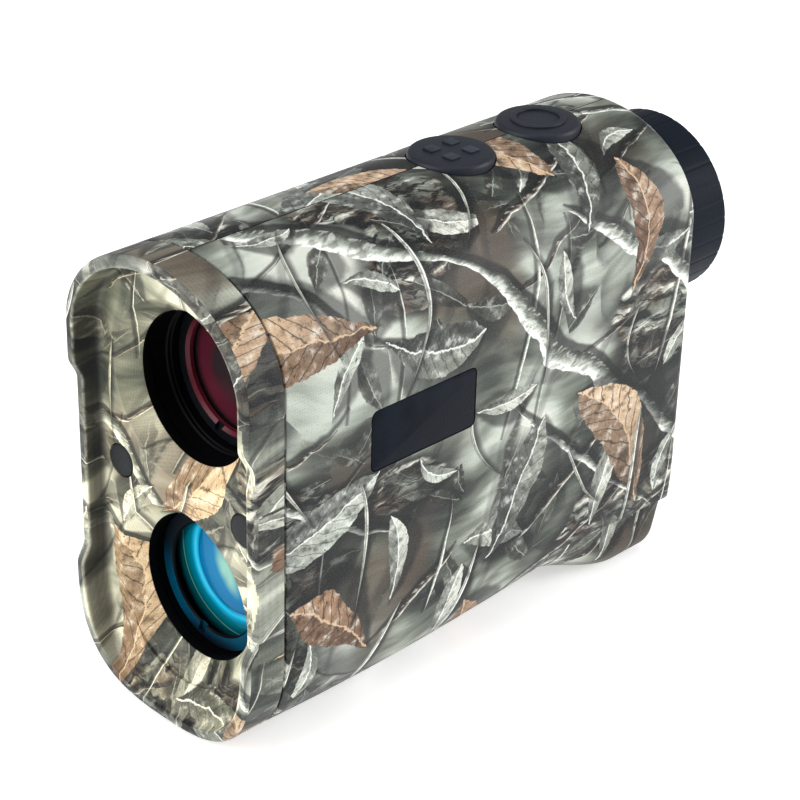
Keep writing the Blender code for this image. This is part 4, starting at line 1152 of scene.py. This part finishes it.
def makePort(prefix, look):
    p, axis, seat, throat = port, (0.0, look["z"]), look["seat"], look["throat"]
    wall, front, rear = p["bore"], p["front"], p["rear"]
    rimBack = seat - p["lensGap"]
    rimFront = rimBack - p["lensRim"]
    ringBack = rimFront - p["ringGap"]
    ringFront = ringBack - p["ringThick"]
    profile = [(wall, front), (look["cell"], front), (look["cell"], rear), (throat, rear)]
    profile += [(throat, seat + p["throatRun"]), (throat + p["seatStep"], seat), (wall, seat)]
    for i in range(look["threads"]):  # thread crests on the wall ahead of the ring
        y, wide = ringFront - p["threadStart"] - i * p["pitch"], p["threadWide"]
        if y - wide > front:
            profile += [(wall, y), (wall - p["thread"], y - wide / 2), (wall, y - wide)]
    cell = turnedShape(profile, axis, steps=128, closed=True)
    keepPiece(cell, prefix + "_cell", "portBlack", "housing", "anodised", sharp=25.0)
    lens = turnedShape(lensProfile(p["lens"], rimFront, rimBack, p["bulge"], 0.0), axis, steps=128)
    keepPiece(lens, prefix + "_lens", prefix + "Glass", "housing", look["slot"])
    bore, outer, edge = look["ringBore"], wall - p["ringSlack"], p["ringEdge"]
    profile = [(bore + look["chamfer"], ringFront), (outer - edge, ringFront), (outer, ringFront + edge)]
    profile += [(outer, ringBack), (bore + look.get("undercut", 0.0), ringBack)]
    if "ringLip" in look:
        profile.append((bore, ringFront + look["ringLip"]))
    ring = turnedShape(profile + [(bore, ringFront + look["chamfer"])], axis, steps=128, closed=True)
    half, over = p["notchHalf"], p["notchOver"]
    for turnDegrees in (p["notch"], p["notch"] + 180.0):
        notch = block((bore - over, ringFront - over, -half),
                      (outer - p["notchRim"], ringFront + p["notchDepth"], half))
        spun = Matrix.Rotation(math.radians(-turnDegrees), 3, "Y")
        bmesh.ops.rotate(notch, verts=notch.verts, cent=(0, 0, 0), matrix=spun)
        bmesh.ops.translate(notch, verts=notch.verts, vec=(0.0, 0.0, look["z"]))
        ring = carve(ring, notch)
    for face in ring.faces:
        middle = face.calc_center_median()
        face.material_index = int(math.hypot(middle.x, middle.z - look["z"]) < bore + p["lined"])
    keepPiece(ring, prefix + "_retaining_ring", look["finish"], "housing", "anodised", sharp=25.0)


for prefix, look in ports.items():
    makePort(prefix, look)
print("ports made")

# eyepiece: a grooved ring that turns, a soft cup behind it, and the glass inside

eyepiece = inMm(
    slack=0.3, barrel=12.6, bore=11.0, barrelY=(38.2, 52.6), flange=14.9, barrelSoft=0.15,
    radius=16.05, ringEnd=56.2, ringRound=0.3, ringPlain=0.9, pocket=14.8, grooveDepth=0.09, grooved=0.2,
    cupY=53.2, endY=56.25, cupRim=1.0, cupHole=11.6, cupEdge=0.2, cupRoll=1.2, cupRollIn=1.4,
    cellY=(42.0, 50.6), cellHole=9.6,
)
eyepiece.update(
    grooves=30,
    grooveSteps=16,
    grooveWide=0.09,
    ringFront=((-0.4, 0.0), (-0.1, 0.12), (0.0, 0.4), (0.0, 0.9)),  # radius and along, for edgePoints
    cellLip=((-0.6, 0.0), (-1.0, -0.3), (-1.0, -0.7), (0.0, -0.7)),
    lenses=[  # front, back and the bulge of each, in mm
        ("ocular_lens", "eyeGlass", (47.6, 49.5, 1.0, 0.0)),
        ("field_lens", "clearGlass", (43.0, 44.6, 0.0, 1.0)),
    ],
)


def makeEyepiece():
    e, axis, slack = eyepiece, (0.0, housing["eyeZ"]), eyepiece["slack"]
    (start, end), flangeBack = e["barrelY"], housing["rearY"] - housing["wall"] - slack
    profile = [(e["bore"], start), (e["flange"], start), (e["flange"], flangeBack), (e["barrel"], flangeBack)]
    barrel = turnedShape(profile + [(e["barrel"], end), (e["bore"], end)], axis, closed=True)
    keepPiece(soften(barrel, e["barrelSoft"]), "eyepiece_barrel", "anodised", "housing", "anodised")

    start, end, outer, bore = housing["rearY"] + slack, e["ringEnd"], e["radius"], e["barrel"] + slack
    edge = e["ringRound"]
    profile = [(bore, start)] + edgePoints(outer, start, e["ringFront"]) + [(outer, end - e["ringPlain"])]
    profile += roundArc((outer - edge, end - edge), edge, 0.0, 90.0, 5)
    profile += [(e["pocket"], end), (e["pocket"], e["cupY"]), (bore, e["cupY"])]
    grip = turnedShape(profile, axis, steps=e["grooves"] * e["grooveSteps"], closed=True)
    for vert in grip.verts:  # press a narrow groove into every thirtieth of the turn
        reach = Vector((vert.co.x, 0.0, vert.co.z - axis[1]))
        if reach.length > outer - e["grooved"]:
            phase = (math.atan2(reach.z, reach.x) / (2 * math.pi) * e["grooves"]) % 1.0
            dip = max(0.0, 1.0 - abs(phase - 0.5) / e["grooveWide"])
            reach *= 1.0 - e["grooveDepth"] * dip / reach.length
            vert.co = (reach.x, vert.co.y, axis[1] + reach.z)
    keepPiece(grip, "diopter_ring", "darkPlastic", "eyepiece", "dark_plastic", sharp=40.0)

    front, rim, hole, outer = e["cupY"] + slack, e["cupRim"], e["cupHole"], e["pocket"] - slack
    edge, roll = e["cupEdge"], e["cupRoll"]
    profile = [(hole, front), (outer - edge, front), (outer, front + edge)]
    profile += roundArc((outer - rim, e["endY"] - rim), rim, 0.0, 90.0, 8)
    profile += roundArc((hole + e["cupRollIn"], e["endY"] - roll), roll, 90.0, 170.0, 6)
    cup = turnedShape(profile, axis, steps=120, closed=True)
    keepPiece(cup, "eyecup", "rubber", "eyepiece", "rubber", sharp=40.0)

    (start, end), outer, hole = e["cellY"], e["bore"] - slack, e["cellHole"]
    profile = [(hole, start), (outer, start), (outer, end)] + edgePoints(hole, end, e["cellLip"])
    cell = turnedShape(profile, axis, closed=True)
    keepPiece(cell, "ocular_cell", "anodised", "ocular", "anodised", sharp=25.0)
    for name, finish, places in e["lenses"]:
        lens = turnedShape(lensProfile(hole - slack, *(place * mm for place in places)), axis)
        keepPiece(lens, name, finish, "ocular", "clear_glass")


makeEyepiece()
print("eyepiece made")

# battery door: the belly's own outline in front, a flat-bottomed box at the back

door = inMm(
    front=12.3, blend=31.0, rear=42.3, top=10.6, side=18.7, corner=4.5, leastCorner=1.0, wall=1.8, fillet=1.6,
    lip=0.12, leanStart=4.0, rings=(33, 35, 37, 39), hollow=(17, 21, 25, 29, 33, 37), hollowAhead=2.0,
    hollowStep=1.0, hollowOver=2.0,
)
door.update(lean=0.3, topShare=0.14, blendSteps=14, segments=200, hollowSegments=96, aside=(-7.0, 15.0))


def doorSpot(lapShare, y, inset, top):
    d, h = door, housing
    under = 0.5 - d["topShare"]
    low, high = 0.0, 0.5
    for _ in range(30):  # where the belly meets the door's top
        mid = (low + high) / 2
        low, high = (mid, high) if skin(mid, h["doorY"], inset).z > top else (low, mid)
    start = (low + high) / 2
    share = min(abs(lapShare) / under, 1.0)  # 0 at the bottom's middle, 1 at the top corner
    belly = skin(0.5 - (0.5 - start) * share, h["doorY"], inset)
    side, floor = d["side"] - inset, inset
    radius = max(d["corner"] - inset, d["leastCorner"])
    flat, bend, wall = side - radius, math.pi / 2 * radius, top - floor - radius
    run = share * (flat + bend + wall)
    if run < flat:
        boxed = Vector((run, 0.0, floor))
    elif run < flat + bend:
        a = (run - flat) / radius
        boxed = Vector((flat + radius * math.sin(a), 0.0, floor + radius * (1.0 - math.cos(a))))
    else:
        boxed = Vector((side, 0.0, floor + radius + run - flat - bend))
    spot = Vector((belly.x, 0.0, belly.z)).lerp(boxed, ease(y, h["doorY"], d["blend"]))
    if abs(lapShare) > under:
        spot.x *= 1.0 - (abs(lapShare) - under) / d["topShare"]
    spot.y = y - d["lean"] * ease(y, d["blend"] - d["leanStart"], d["rear"]) * (d["top"] - spot.z)
    spot.x *= math.copysign(1.0, lapShare)
    return spot


def makeDoor():
    d, front, steps = door, door["front"], door["blendSteps"]
    stops = [(front, d["lip"]), (front + d["lip"], 0.0)]
    stops += [(front + (d["blend"] - front) * i / steps, 0.0) for i in range(1, steps + 1)]
    stops += [(y, 0.0) for y in d["rings"]] + rearRound(d["rear"], d["fillet"])
    bm = stackRings([lambda s, y=y, i=i: doorSpot(s, y, i, d["top"]) for y, i in stops], d["segments"])
    hollow = [front - d["hollowAhead"], front + d["hollowStep"], *d["hollow"], d["rear"] - d["wall"]]
    over = d["top"] + d["hollowOver"]
    places = [lambda s, y=y: doorSpot(s, y, d["wall"], over) for y in hollow]
    bm = carve(bm, stackRings(places, d["hollowSegments"]), lining=1)
    wrapPrint(bm, aside=d["aside"])
    keepPiece(bm, "battery_door", "shellPrint innerPlastic", "door", "printed_housing")


makeDoor()
print("door made")

# inner nodes keep their shape and take a finish

innerFinish = {
    "steel": ["bezel_screw_left", "bezel_screw_right", "laser_module", "detector", "battery_spring",
              "battery_contact"],
    "innerPlastic": ["front_bulkhead", "rear_bulkhead", "prism_holder", "mode_switch", "power_switch",
                     "battery_tray"],
    "clearGlass": ["half_prism", "roof_prism", "reticle_display"],
    "board": ["main_board", "detector_board", "switch_board"],
    "cellWrap": ["battery"],
}
for finishName, names in innerFinish.items():
    for name in names:
        node = nodes[name]
        node.data.materials.clear()
        node.data.materials.append(made[finishName])
print("inner nodes finished")

# floor

floorFinish, floorShader = startFinish("floorFinish")
floorTone = fade(clouds(objectSpot(), 3.0, 3.0), 0.3, 0.7)
floorColour = layer(floorTone, (studio["floor"],) * 3, (studio["floor"] * studio["floorMottle"],) * 3)
setSockets(floorShader, {"Base Color": floorColour, "Roughness": studio["floorRough"],
                         "Emission Color": (1.0, 1.0, 1.0), "Emission Strength": studio["floorGlow"]})
floorMesh = bmesh.new()
bmesh.ops.create_grid(floorMesh, x_segments=2, y_segments=2, size=studio["floorSize"])
floorData = bpy.data.meshes.new("floor")
floorMesh.to_mesh(floorData)
floorMesh.free()
floorData.materials.append(floorFinish)
floor = bpy.data.objects.new("floor", floorData)
bpy.context.scene.collection.objects.link(floor)
